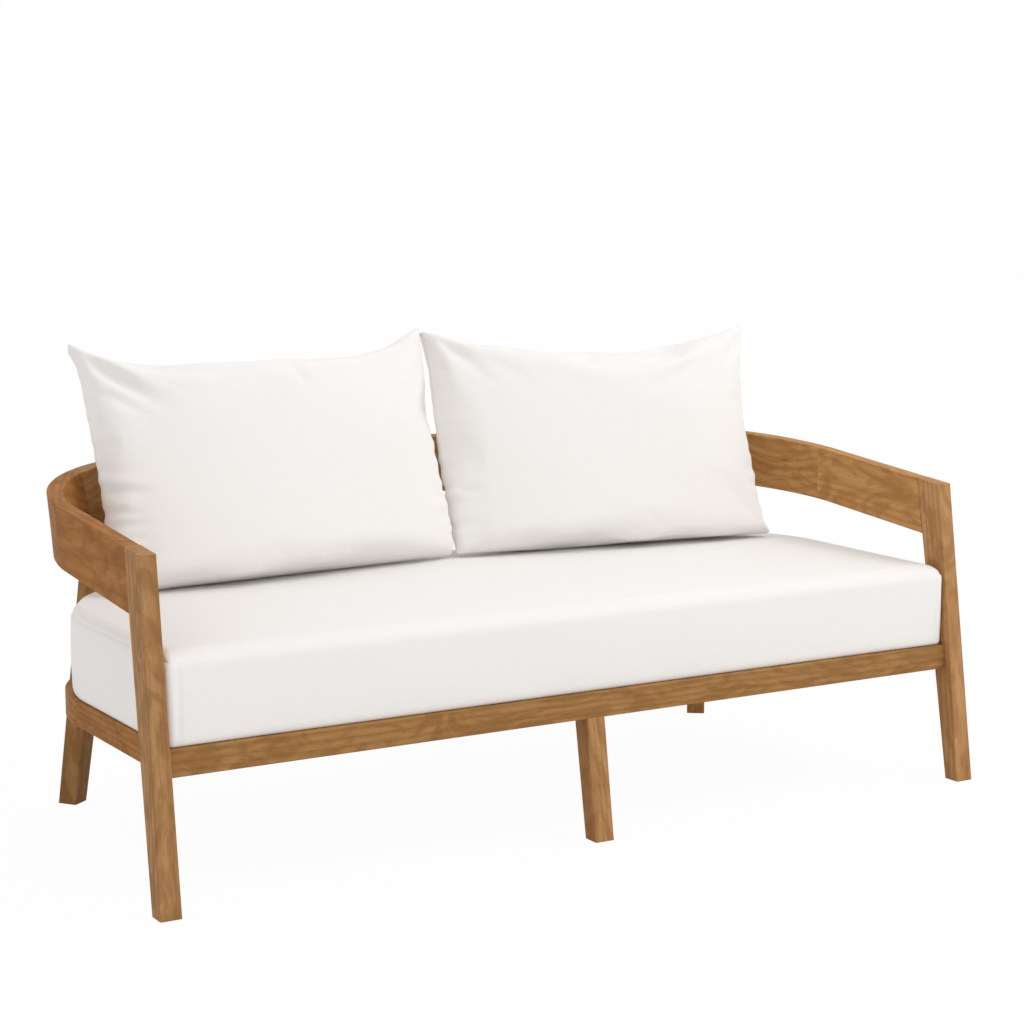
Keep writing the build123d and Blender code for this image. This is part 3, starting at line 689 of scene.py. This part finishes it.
# %% Fit a cushion to its outline
seam_waves = (38, 61)  # radians from the middle of a side seam to its end
wave_height = 0.0005
low_wave_height = 0.0013  # more near the foot, where the cloth is bunched
fullness = 0.55  # how much fuller the front is at its foot
calm_share = 0.85


def ear_moves(points, u, v, front, facts):
    """Moves that carry the ears to the finished corners plus their offsets, by bilinear weights."""
    width, height, _ = facts["size"]
    share_u, share_v = (u + 1) / 2, (v + 1) / 2
    moves = np.zeros(u.shape + (3,))
    for (i, j), (ear_x, ear_y) in zip(((0, 0), (-1, 0), (-1, -1), (0, -1)), facts["ears"]):
        target = np.array([width / 2 * (1 if i else -1) + ear_x, (height if j else 0.0) + ear_y, 0.0])
        weight = (share_u if i else 1 - share_u) * (share_v if j else 1 - share_v)
        moves += weight[..., None] * (target - points[front[i, j]])
    return moves


def edge_moves(moved, u, v, facts):
    """Moves that give each edge its line, and leave the solver's small puckers on it.

    The slow part of an edge is set to its pull times 1 - |s|^p. The factor 1 - s^16 holds the
    ears still, and a power of the share fades the move out from the edge. The lower edge is let
    down straight, and the side seams wave, as a seam does that was sewn under tension.
    """
    share_u, share_v = (u + 1) / 2, (v + 1) / 2
    line_u, line_v = u[:, 0], v[0]
    ramp_u, ramp_v = share_u[:, 0], share_v[0]
    moves = np.zeros_like(moved)
    level = moved[0, -1, 1] * (1 - ramp_u) + moved[-1, -1, 1] * ramp_u
    top_pull, left_power, right_power = facts["top"]
    wanted = level - top_pull * (1 - np.abs(line_u) ** np.where(line_u < 0, left_power, right_power))
    lift = (wanted - even_line(line_u, moved[:, -1, 1])) * (1 - line_u**16)
    moves[..., 1] += lift[:, None] * share_v**2
    floor_line = moved[0, 0, 1] * (1 - ramp_u) + moved[-1, 0, 1] * ramp_u
    moves[..., 1] += (floor_line - moved[:, 0, 1])[:, None] * (1 - share_v) ** 1.6
    for end, sign in ((0, -1), (-1, 1)):
        straight = moved[end, 0, 0] * (1 - ramp_v) + moved[end, -1, 0] * ramp_v
        wanted = straight - sign * facts["pulls"][end] * (1 - np.abs(line_v) ** 3)
        push = (wanted - even_line(line_v, moved[end, :, 0])) * (1 - line_v**16)
        near = share_u if end else 1 - share_u
        moves[..., 0] += push[None, :] * near**2
        wave = np.sin(line_v * seam_waves[0] + facts["seed"])
        wave += 0.7 * np.sin(line_v * seam_waves[1] + 2 * facts["seed"])
        low = smoothstep((0.3 - line_v) * 1.2) * (1 - line_v**8)
        moves[..., 0] += (wave_height + low_wave_height * low) * facts["waves"][end] * wave * near**12
    return moves


def fitted(points, u, v, front, back, facts):
    """Gives a blown-up cushion its finished outline and depth.

    The front bulges by depth / 2 times rise^power, with a power below 1 towards its foot, and the
    lower part of both panels is drawn towards the mean of its neighbours.
    """
    moves = ear_moves(points, u, v, front, facts)
    moves = moves + edge_moves(points[front] + moves, u, v, facts)
    shaped = points.copy()
    inner = back[1:-1, 1:-1]
    shaped[front] = points[front] + moves
    shaped[inner] = points[inner] + moves[1:-1, 1:-1]
    half_depth = facts["size"][2] / 2
    z = shaped[:, 2]
    z *= np.where(z > 0, half_depth / z.max(), -half_depth / z.min())
    power = np.ones(len(shaped))
    share_v = (v + 1) / 2
    power[front] = 1 - fullness * (1 - share_v) ** 1.3
    rise = np.clip(z / half_depth, 0, 1)
    shaped[:, 2] = np.where(z > 0, half_depth * rise**power, z)
    calm = (1 - share_v) ** 2 * calm_share
    for index in (front, back):
        rows = shaped[index]
        slow = running_mean(rows, 8)
        rows[..., 1:] += (slow - rows)[..., 1:] * calm[..., None]
        shaped[index[1:-1, 1:-1]] = rows[1:-1, 1:-1]
    return shaped


print("seams wave by up to", low_wave_height * 1000, "mm")

# %% [markdown]
# Each fold that the picture shows clearly is pressed in as a crease: a narrow valley with a soft
# ridge beside it. The cushion then stands on the seat, leans back on the band, and turns a little
# towards its corner.

# %% Folds and place of a cushion
def crease(points, start, end, deep, wide):
    """Presses a fold: -deep exp(-d^2/w^2) on the line and a ridge 1.7 w beside it."""
    a = np.array(start)
    run = np.array(end) - a
    length = np.hypot(*run)
    along = ((points[:, :2] - a) @ run) / length**2
    side = ((points[:, :2] - a) @ np.array([-run[1], run[0]])) / length
    taper = smoothstep(along * 3.0 + 0.2) * smoothstep((1 - along) * 1.6)
    valley = np.exp(-((side / wide) ** 2))
    ridge = 0.55 * np.exp(-(((side - 1.7 * wide) / (1.3 * wide)) ** 2))
    front_side = smoothstep(points[:, 2] / 0.02)
    points[:, 2] += deep * (ridge - valley) * taper * front_side


cushion_lean = math.radians(19.0)
stand_line = 0.186  # how far behind the seat's middle the lower inner corners stand


def cushion_frame(name, side, yaw, width):
    """Matrix from a cushion's own frame to its place: X across, Y up its face, Z out of it."""
    turned = math.radians(yaw)
    across = Vector((math.cos(turned), -side * math.sin(turned), 0))
    behind = Vector((side * math.sin(turned), math.cos(turned), 0))
    up = behind * math.sin(cushion_lean) + Vector((0, 0, math.cos(cushion_lean)))
    out = across.cross(up)
    low, high = node_box(f"{name}_back_cushion_cover")
    inner = Vector((low[0] if side > 0 else high[0], stand_line, low[2]))
    origin = inner + across * (side * width / 2)
    return np.array(Matrix((across, up, out)).transposed()), np.array(origin)


print("cushions lean back by", round(math.degrees(cushion_lean), 1), "degrees")

# %% Sizes and folds of the back cushions
# Each cushion: its side, its turn in degrees, its finished size, the seed of its ripple, offsets
# of its ears from the lower left one round, the pull of its top and a power for each half, the
# pulls of its left and right edge, and how strongly their seams wave
back_cushions = {
    "left": dict(
        side=-1,
        yaw=4.5,
        size=(0.740, 0.456, 0.178),
        seed=3,
        ears=((0, 0), (0.001, 0), (0.025, 0.014), (0.007, 0.006)),
        top=(0.070, 1.65, 3.6),
        pulls=(0.017, 0.006),
        waves=(1.1, 1.1),
    ),
    "right": dict(
        side=1,
        yaw=7.0,
        size=(0.718, 0.456, 0.178),
        seed=11,
        ears=((-0.005, 0), (-0.026, 0), (0.0, -0.004), (-0.008, -0.004)),
        top=(0.058, 1.6, 1.9),
        pulls=(0.0, 0.019),
        waves=(1.1, 0.4),
    ),
}
# Each fold: its start and its end on the cushion's face, its depth and its width, in metres
folds = {
    "left": [
        ((-0.352, 0.440), (-0.205, 0.305), 0.013, 0.011),
        ((-0.335, 0.370), (-0.262, 0.315), 0.006, 0.009),
        ((-0.360, 0.188), (-0.262, 0.172), 0.008, 0.006),
        ((-0.360, 0.150), (-0.285, 0.133), 0.009, 0.005),
        ((-0.358, 0.124), (-0.275, 0.118), 0.007, 0.005),
        ((-0.354, 0.092), (-0.285, 0.090), 0.005, 0.005),
        ((-0.350, 0.062), (-0.290, 0.064), 0.005, 0.006),
        ((0.352, 0.430), (0.250, 0.350), 0.005, 0.010),
        ((0.360, 0.110), (0.300, 0.118), 0.006, 0.006),
        ((0.362, 0.070), (0.318, 0.074), 0.005, 0.005),
        ((0.040, 0.385), (0.075, 0.335), 0.0035, 0.010),
    ],
    "right": [
        ((-0.345, 0.430), (-0.255, 0.350), 0.006, 0.010),
        ((-0.340, 0.120), (-0.290, 0.126), 0.005, 0.006),
        ((0.345, 0.425), (0.262, 0.340), 0.006, 0.010),
        ((0.332, 0.140), (0.272, 0.132), 0.006, 0.007),
        ((0.326, 0.100), (0.282, 0.098), 0.004, 0.006),
        ((-0.080, 0.398), (-0.020, 0.350), 0.004, 0.010),
        ((0.100, 0.398), (0.135, 0.350), 0.003, 0.010),
    ],
}
print(len(folds["left"]), "folds on the left cushion,", len(folds["right"]), "on the right one")

# %% Blow up and place the back cushions
rest_level = node_box("left_back_cushion_cover")[0][2]  # cloth that would sink lower lies flat
rest_blend = 0.0016
draw_in_room = 0.03  # what the stuffing takes up of each panel
cushion_points = {}
for side_name, facts in back_cushions.items():
    width, height, depth = facts["size"]
    points, front, back, u, v = sewn_panels(width + draw_in_room, height + draw_in_room, facts["seed"])
    faces = np.concatenate([grid_faces(front), grid_faces(back)[:, ::-1]])
    front_uv = points[grid_faces(front), :2]
    back_uv = front_uv[:, ::-1] * [-1, 1] + [2.0, 0]
    cloth_uv = np.concatenate([front_uv, back_uv]).reshape(-1, 2)
    piece = surface(f"{side_name}_back_cushion", points, faces, white_canvas, cloth_uv)
    shaped = pressed(piece, frames=40, pressure=1.0)
    shaped = fitted(shaped, u, v, front, back, facts)
    for start, end, deep, wide in folds[side_name]:
        crease(shaped, start, end, deep, wide)
    turned, origin = cushion_frame(side_name, facts["side"], facts["yaw"], width)
    placed = shaped @ turned.T + origin
    above = placed[:, 2] - rest_level
    placed[:, 2] = rest_level + (above + np.sqrt(above**2 + rest_blend**2)) / 2
    piece.data.vertices.foreach_set("co", placed.ravel())
    piece.data.update()
    cushion_points[side_name] = (placed, front, back)
    rounder(piece)
    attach(piece, f"{side_name}_back_cushion")
    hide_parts(f"{side_name}_back_cushion_cover", f"{side_name}_back_cushion_filling")
    print(side_name, "cushion", placed.min(0).round(3), placed.max(0).round(3))

# %% [markdown]
# The seat cushion is a box of foam in a tailored cover. Its top panel runs on over the front edge
# and down, so no seam shows there, and the side and rear bands are sewn on: a seam along each
# upper edge, and one down each front corner. The shape is a profile carried round an outline: up
# the side, over a soft edge and in to the middle of a low crown. Seams are narrow valleys, and
# the cloth beside them is gathered a little.

# %% Outline and profile of the seat cushion
cover_low, cover_high = node_box("seat_cushion_cover")
seat_front, seat_low = cover_low[1], cover_low[2]
seat_rear, seat_top = cover_high[1], cover_high[2]
leg_gap = 0.0017
seat_half = node_box("right_front_leg")[0][0] - leg_gap  # the picture shows it fill the width
seam_drop = 0.020  # the sewn edge of the side band lies this far under the top
seam_rise = seat_top - seam_drop - seat_low
rear_radius = 0.290
front_radius = 0.013
outline_step = 0.0045
counted_radius = 0.020  # a front corner's radius where the points of a run are counted


def seat_outline(side_inset=0.0, front_inset=0.0):
    """Plan of the cushion at one height, counter-clockwise from the middle of the rear.

    Straight runs joined by quarter circles, drawn in by side_inset at the sides and the rear
    and by front_inset in front. Every outline has the same number of points, outline_step apart
    on the widest one. Returns the points and their outward normals.
    """
    half = seat_half - side_inset
    rear = seat_rear - side_inset
    front = seat_front + front_inset
    bend = rear_radius - side_inset
    nip = front_radius - 0.5 * min(side_inset, front_radius)
    rear_run = seat_half - rear_radius
    bend_run = rear_radius * math.pi / 2
    side_run = seat_rear - rear_radius - seat_front - counted_radius
    nip_run = 5 * counted_radius
    front_run = 2 * (seat_half - counted_radius)
    # Each run: start and end, or centre, radius and first angle, and the length that is counted
    runs = [
        ((0, rear), (-half + bend, rear), 0, rear_run),
        ((-half + bend, rear - bend), bend, 90, bend_run),
        ((-half, rear - bend), (-half, front + nip), 0, side_run),
        ((-half + nip, front + nip), nip, 180, nip_run),
        ((-half + nip, front), (half - nip, front), 0, front_run),
        ((half - nip, front + nip), nip, 270, nip_run),
        ((half, front + nip), (half, rear - bend), 0, side_run),
        ((half - bend, rear - bend), bend, 0, bend_run),
        ((half - bend, rear), (0, rear), 0, rear_run),
    ]
    points, normals = [], []
    for first, second, start, length in runs:
        count = round(length / outline_step)
        share = np.arange(count) / count
        if isinstance(second, tuple):
            way = np.subtract(second, first)
            points.append(first + way * share[:, None])
            normals.append(np.repeat([[way[1], -way[0]]], count, 0) / np.hypot(*way))
        else:
            angle = np.radians(start + 90 * share)
            ray = np.stack([np.cos(angle), np.sin(angle)], -1)
            points.append(first + second * ray)
            normals.append(ray)
    return np.concatenate(points), np.concatenate(normals)


path, outward = seat_outline()
steps = np.hypot(*(np.roll(path, -1, 0) - path).T)
travelled = np.concatenate([[0], np.cumsum(steps)])
girth = travelled[-1]
print(len(path), "points round", round(girth, 3), "m of outline")

# %% Unevenness of the seat cushion
def soft_noise(spacing, seed):
    """Smooth periodic noise along the outline: random values at a spacing, joined by cosines."""
    count = int(girth / spacing)
    values = np.random.default_rng(seed).uniform(-1, 1, count)
    place = travelled[:-1] / girth * count
    left = np.floor(place).astype(int)
    share = (1 - np.cos((place - left) * math.pi)) / 2
    return values[left % count] * (1 - share) + values[(left + 1) % count] * share


def lump(x, y, waves, seed):
    """Low broad swells of the top: a sum of sine waves in plan."""
    rng = np.random.default_rng(seed)
    total = np.zeros_like(x)
    for _ in range(waves):
        kx, ky = rng.uniform(2, 11), rng.uniform(2, 14)
        total += np.sin(kx * x + rng.uniform(0, whole_turn)) * np.sin(ky * y + rng.uniform(0, whole_turn))
    return total / waves


def bell(distance, reach):
    """exp(-(d / reach)^2): 1 on a line, fading out beside it."""
    return np.exp(-((distance / reach) ** 2))


slack_depth = 0.0018
slack_fade = 0.010
# Each mark on the cover: how deep it goes and how far it reaches, in metres
seam_groove = (0.0022, 0.0022)
seam_pucker = (0.0011, 0.014)
top_pucker = (0.0007, 0.008)
low_seam = (0.0008, 0.0025)
corner_seam = (0.0018, 0.0036)
corner_pinch = (0.0012, 0.022)
belly_depth = 0.0012
low_seam_rise = 0.0035
corner_inset = 0.024  # from the end of the side to the sewn front corner
corner_calm = 0.10
pinch_waves = 310  # radians for each metre up
gather = soft_noise(0.012, 4) * 0.6 + soft_noise(0.03, 5)
rear_share = smoothstep((outward[:, 1] - 0.8) / 0.2)
belly_wave = soft_noise(0.16, 6) * (1 - rear_share)
print("gathers from", round(gather.min(), 2), "to", round(gather.max(), 2))

# %% Sides of the seat cushion
# Heights of the rings up the side: close together at the foot and at the seam
side_levels = np.concatenate([
    [0.0, 0.0012, 0.0035, 0.008],
    np.linspace(0.016, seam_rise - 0.014, 13),
    seam_rise + np.array([-0.008, -0.0045, -0.0022, -0.0008, 0.0008, 0.0022, 0.0045, 0.008]),
])
low_round = 0.0045
side_round = 0.024
front_round = 0.044
crown_height = 0.004
edge_start = seam_rise - 0.010
edge_rise = seat_top - seat_low - crown_height - edge_start


def profile_inset(rise, edge_round):
    """How far the side lies inside the outline at a height: round at the foot and at the top."""
    foot = np.clip(1 - rise / low_round, 0, 1)
    head = np.clip((rise - edge_start) / edge_rise, 0, 1)
    return low_round * (1 - np.sqrt(1 - foot**2)) + edge_round * (1 - np.sqrt(1 - head**2))


def seat_ring(side_inset, front_inset, pressed_in, rise):
    """One ring of the cushion: the outline at these insets, pressed in along its normals."""
    plan = seat_outline(side_inset, front_inset)[0] - outward * pressed_in[:, None]
    return np.column_stack([plan, np.full(len(path), seat_low + rise)])


rows = []
front_turn = 0.08**0.5  # how far the cover turns from facing forward before its edge is sewn
sewn_share = 1 - bell(1 + np.clip(outward[:, 1], -1, 1), front_turn)
left_share = smoothstep(0.5 - path[:, 0])
to_corner = np.full(len(path), girth)
for side in (-1, 1):
    off_corner = path - [side * (seat_half - corner_inset), seat_front]
    at_corner = travelled[np.argmin(np.hypot(*off_corner.T))]
    to_corner = np.minimum(to_corner, np.abs(travelled[:-1] - at_corner))
straight = 1 - bell(to_corner, corner_calm)
for rise in side_levels:
    mid = np.sin(np.clip(rise / seam_rise, 0, 1) * math.pi)
    slack = slack_depth * straight * (1 - mid)
    groove = seam_groove[0] * bell(rise - seam_rise, seam_groove[1]) * sewn_share
    pucker = seam_pucker[0] * gather * bell(rise - seam_rise, seam_pucker[1]) * sewn_share
    low_groove = low_seam[0] * bell(rise - low_seam_rise, low_seam[1])
    corner_groove = corner_seam[0] * bell(to_corner, corner_seam[1]) * mid**0.5
    wave = np.sin(rise * pinch_waves + belly_wave * 2) * left_share
    pinch = corner_pinch[0] * wave * bell(to_corner, corner_pinch[1]) * mid
    total = slack + groove + low_groove + corner_groove + pucker + pinch - belly_depth * belly_wave * mid
    insets = profile_inset(rise, side_round), profile_inset(rise, front_round)
    rows.append(seat_ring(*insets, total, rise))
seam_level = len(rows) - 4
print(len(rows), "rings up the side")

# %% Top and underside of the seat cushion
start_rise = side_levels[-1]
first_angle = math.asin((start_rise - edge_start) / edge_rise)
for angle in np.linspace(first_angle, math.radians(85), 12)[1:]:
    rise = edge_start + edge_rise * math.sin(angle)
    draw_in = 1 - math.cos(angle)
    pucker = top_pucker[0] * gather * bell(rise - start_rise, top_pucker[1]) * sewn_share
    slack = slack_depth * straight * bell(rise - start_rise, slack_fade)
    rows.append(seat_ring(side_round * draw_in, front_round * draw_in, pucker + slack, rise))
ring_edge = rows[-1]
centre = np.array([0.0, -0.02])
rim_fade = 0.06  # the crown rises within this distance of the edge
lump_height = 0.0008
for share in 1 - np.linspace(0, 1, 34)[1:] ** 1.15:
    plan = centre + (ring_edge[:, :2] - centre) * share
    beyond_x = np.clip(np.abs(plan[:, 0]) - (seat_half - rear_radius), 0, None)
    beyond_y = np.clip(plan[:, 1] - (seat_rear - rear_radius), 0, None)
    from_rim = np.clip(rear_radius - side_round - np.hypot(beyond_x, beyond_y), 0, None)
    from_front = np.clip(plan[:, 1] - seat_front - front_round, 0, None)
    inside = (1 - np.exp(-from_rim / rim_fade)) * (1 - np.exp(-from_front / rim_fade))
    swell = lump_height * lump(plan[:, 0], plan[:, 1], 9, 8)
    rows.append(np.column_stack([plan, ring_edge[:, 2] + (crown_height + swell) * inside]))
under = []
for share in np.linspace(0.0, 1.0, 9)[:-1]:
    plan = centre + (rows[0][:, :2] - centre) * share
    under.append(np.column_stack([plan, np.full(len(path), seat_low)]))
rings = np.array(under + rows)
print(len(rings), "rings in all, crown", crown_height * 1000, "mm")

# %% Faces and cloth of the seat cushion
ring_count, around = rings.shape[:2]
index = np.arange(ring_count * around).reshape(ring_count, around)
index[0] = 0
index[-1] = index[-1, 0]
faces = grid_faces(index, closed=True)[:, ::-1]
side_first = len(under)
row_of_face = np.repeat(np.arange(ring_count - 1), around)
is_side = (row_of_face >= side_first) & (row_of_face < side_first + seam_level)
spread = grid_faces(np.arange(ring_count * (around + 1)).reshape(ring_count, around + 1))[:, ::-1]
wide = np.concatenate([rings, rings[:, :1]], 1)
flat = wide[..., :2].reshape(-1, 2)
tall = np.stack([np.tile(travelled, (ring_count, 1)), wide[..., 2]], -1).reshape(-1, 2)
cloth_uv = np.where(is_side[:, None, None], tall[spread], flat[spread])
print(rings.size // 3, "points in the seat cushion")


def welded(points, faces, cloth):
    """Drops faces that have no area, and points that no face uses; a triangle keeps 3 corners."""
    mesh_faces, mesh_cloth = [], []
    for face, uv in zip(faces.tolist(), cloth.tolist()):
        kept = [k for k in range(4) if face[k] != face[k - 1]]
        if len(kept) > 2:
            mesh_faces.append([face[k] for k in kept])
            mesh_cloth.extend(uv[k] for k in kept)
    used = sorted({i for face in mesh_faces for i in face})
    number = {old: new for new, old in enumerate(used)}
    return points[used], [[number[i] for i in face] for face in mesh_faces], np.array(mesh_cloth)


seat_points, seat_faces, seat_cloth = welded(rings.reshape(-1, 3), faces, cloth_uv)
seat_cushion = surface("seat_cushion", seat_points, seat_faces, white_canvas, seat_cloth)
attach(seat_cushion, "seat_cushion")
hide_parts("seat_cushion_cover", "seat_cushion_core")
print("seat cushion", seat_points.min(0).round(3), seat_points.max(0).round(3))

# %% [markdown]
# Each cover closes with a coil zip: two woven tapes that meet in a row of teeth, and the seat's
# has a small die cast slider with a pull tab. The back cushions' tapes follow the cloth they are
# sewn to, so they are laid along a line of points taken from the cushion itself; the seat's runs
# straight along its rear. The teeth are far too many for detail, so each one is a plain block of
# six faces, set in turn on one side of the row and the other.

# %% Zip finishes
tape_threads = 0.0009  # woven finer than the canvas, and drawn coarser than real tape too
tape_finish = canvas("polyester_zip_tape", "#e4e1da", tape_threads)
coil_finish = moulded_nylon("nylon_zip_coil", "#d9d6cf")
slider_finish = turned_metal("zinc_slider", "#c6c6c4", 0.38)
print("zip finishes ready")


# %% Zip tapes and teeth
tape_width = 0.012
tape_lift = 0.0008  # from the cloth to the middle of the tape
tooth_pitch = 0.0045
tooth_half = np.array([0.0013, 0.0019, 0.00055])  # along the row, across it and out of it
tooth_lift = 0.0015
tooth_sway = 0.0007
# The section of the tape: shares of its half width, and heights in metres
tape_shares = np.array([-1, -1, -0.82, -0.3, -0.18, 0.18, 0.3, 0.82, 1, 1])
tape_heights = np.array([-0.6, 0.35, 0.6, 0.6, 0.25, 0.25, 0.6, 0.6, 0.35, -0.6]) * 0.001
block_ends = [(0, 1, 3, 2), (4, 6, 7, 5)]
block_sides = np.array(block_ends + [(0, 4, 5, 1), (2, 3, 7, 6), (0, 2, 6, 4), (1, 5, 7, 3)])


def unit(vectors):
    """Each row divided by its length."""
    return vectors / np.linalg.norm(vectors, axis=1)[:, None]


def lay_zip(body, line, across):
    """Tapes and teeth of a body's zip along a line (n, 3) on the cloth, with across (n, 3) unit.

    The section is carried along the line, and each tooth is a block turned with the line there.
    Returns the line's outward directions.
    """
    along = unit(np.gradient(line, axis=0))
    out = unit(np.cross(along, across))
    side = tape_shares * tape_width / 2
    rings = (
        line[:, None]
        + across[:, None] * side[None, :, None]
        + out[:, None] * (tape_heights + tape_lift)[None, :, None]
    )
    index = np.arange(rings.shape[0] * rings.shape[1]).reshape(rings.shape[:2])
    travel = np.concatenate([[0], np.cumsum(np.linalg.norm(np.diff(line, axis=0), axis=1))])
    flat = np.stack(np.broadcast_arrays(travel[:, None], side[None]), -1)
    closed = np.concatenate([flat, flat[:, :1]], 1).reshape(-1, 2)
    spread = np.arange(len(closed)).reshape(len(line), -1)
    cap = np.array([(k, k + 1, 8 - k, 9 - k) for k in range(4)])
    walls = grid_faces(index, closed=True)
    faces = np.concatenate([walls, index[0][cap], index[-1][cap][:, ::-1]])
    cloth = closed[np.concatenate([grid_faces(spread), spread[0][cap], spread[-1][cap][:, ::-1]])]
    tape = surface(f"{body}_zip_tape", rings.reshape(-1, 3), faces, tape_finish, cloth.reshape(-1, 2))
    count = int(travel[-1] / tooth_pitch)
    place = (np.arange(count) + 0.5) / count * travel[-1]
    spot, aside, ahead, outward_at = [
        sampled(place, travel, way)[:, None] for way in (line, across, along, out)
    ]
    block = np.array([(x, y, z) for x in (-1, 1) for y in (-1, 1) for z in (-1, 1)]) * tooth_half
    sway = np.where(np.arange(count) % 2, tooth_sway, -tooth_sway)[:, None, None]
    corners = (
        spot
        + ahead * block[None, :, :1]
        + aside * (block[None, :, 1:2] + sway)
        + outward_at * (block[None, :, 2:] + tooth_lift)
    )
    sides = (block_sides[None] + 8 * np.arange(count)[:, None, None]).reshape(-1, 4)
    teeth = surface(f"{body}_zip_teeth", corners.reshape(-1, 3), sides, coil_finish, smooth=False)
    for piece in (tape, teeth):
        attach(piece, body)
    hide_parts(f"{body}_zip")
    print(body, "zip", round(travel[-1], 3), "m long with", count, "teeth")
    return out


print("zip maker ready, a tooth every", tooth_pitch * 1000, "mm")

# %% Zips of the back cushions
zip_above_rest = 0.012
zip_ends = (0.84, 0.16)  # shares of the width where a tape starts and ends


def cloth_line(placed, panel, rows):
    """One point in each column of a panel, at a fractional row."""
    column = np.arange(len(rows))
    low = np.floor(rows).astype(int)
    share = (rows - low)[:, None]
    return placed[panel[column, low]] * (1 - share) + placed[panel[column, low + 1]] * share


for side_name, (placed, front, back) in cushion_points.items():
    heights = placed[back][:, :, 2] - rest_level - zip_above_rest
    above = np.argmax(heights > 0, axis=1)
    column = np.arange(len(above))
    step = heights[column, above] / (heights[column, above] - heights[column, above - 1])
    rows_at = running_mean((above - step)[:, None], 6)[:, 0]
    share = np.linspace(0, 1, len(above))
    wanted = np.linspace(*zip_ends, 100)
    near = sampled(wanted, share, cloth_line(placed, back, rows_at))
    far = sampled(wanted, share, cloth_line(placed, back, rows_at + tape_width / pillow_step))
    out = lay_zip(f"{side_name}_back_cushion", (near + far) / 2, unit(far - near))
    print("it faces back:", bool(out[50][1] > 0))

# %% Slider of the seat zip
slider_half = (0.0048, 0.0040, 0.0014)  # half its length, its width and its height
slider_waist = 0.22
tab_half = (0.0026, 0.0115, 0.0006)
tab_edge = 0.0003
hole_half = (0.0011, 0.0022)
hole_down = 0.007
tab_place = (0, 0.0125, 0.0024)  # from the middle of the slider: down, and out of the tape
slider_stand = 0.0031
around_slider = 24


def zip_slider(name, spot):
    """Slider and pull tab on the rear face: a pinched lens, and a plate with a hole, from rings.

    The lens is an ellipse whose size follows (1 - h^4)^0.5 over its height h, and whose width is
    drawn in by the square of the sine. The plate is a superellipse of exponent 0.45.
    """
    axes = np.array([(1.0, 0, 0), (0, 0, -1.0), (0, 1.0, 0)])  # along the tape, down and out
    turns = np.linspace(0, 2 * math.pi, around_slider, endpoint=False)
    cosine, sine = np.cos(turns), np.sin(turns)
    rise = np.linspace(-1, 1, 9)[:, None]
    bulge = 0.75 + 0.25 * (1 - np.abs(rise) ** 4) ** 0.5
    lens = np.stack([
        slider_half[0] * cosine * bulge,
        slider_half[1] * sine * (1 - slider_waist * sine**2) * bulge,
        np.broadcast_to(rise * slider_half[2], (9, around_slider)),
    ], -1)
    poles = [np.tile([0, 0, h], (1, around_slider, 1)) for h in (-slider_half[2], slider_half[2])]
    lens = np.concatenate([poles[0], lens, poles[1]])
    square = np.sign(cosine) * np.abs(cosine) ** 0.45
    tall = np.sign(sine) * np.abs(sine) ** 0.45
    outer = np.stack([tab_half[0] * square, tab_half[1] * tall, 0 * turns], -1)
    hole = np.stack([hole_half[0] * cosine, hole_half[1] * sine + hole_down, 0 * turns], -1)
    face = tab_half[2]
    levels = [(hole, -face), (outer * 0.94, -face), (outer, -tab_edge), (outer, tab_edge)]
    levels += [(outer * 0.94, face), (hole, face), (hole, -face)]
    tab = np.stack([ring + [0, 0, height] + tab_place for ring, height in levels])
    points, faces = [], []
    for rings in (lens, tab):
        index = sum(map(len, points)) + np.arange(len(rings) * around_slider).reshape(-1, around_slider)
        if rings is lens:
            index[0], index[-1] = index[0, 0], index[-1, 0]
        else:
            index[-1] = index[0]
        faces.append(grid_faces(index, closed=True)[:, ::-1])
        points.append(rings.reshape(-1, 3) @ axes + spot)
    joined = np.concatenate(faces)
    points, faces, _ = welded(np.concatenate(points), joined, np.zeros(joined.shape + (2,)))
    return surface(name, points, faces, slider_finish)


print("slider maker ready")

# %% Zip of the seat cushion
zip_low, zip_high = node_box("seat_cushion_zip")
slider_low, slider_high = node_box("seat_zip_slider")
zip_level = (zip_low[2] + zip_high[2]) / 2
slider_x = (slider_low[0] + slider_high[0]) / 2
run_x = np.linspace(zip_high[0], zip_low[0], 160)
line = np.stack([run_x, np.full_like(run_x, seat_rear), np.full_like(run_x, zip_level)], -1)
out = lay_zip("seat_cushion", line, np.tile([0.0, 0.0, 1.0], (len(line), 1)))
slider = zip_slider("seat_zip_slider_pull", [slider_x, seat_rear + slider_stand, zip_level])
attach(slider, "seat_zip_slider")
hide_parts("seat_zip_slider")
print("seat zip faces back:", bool(out[80][1] > 0))
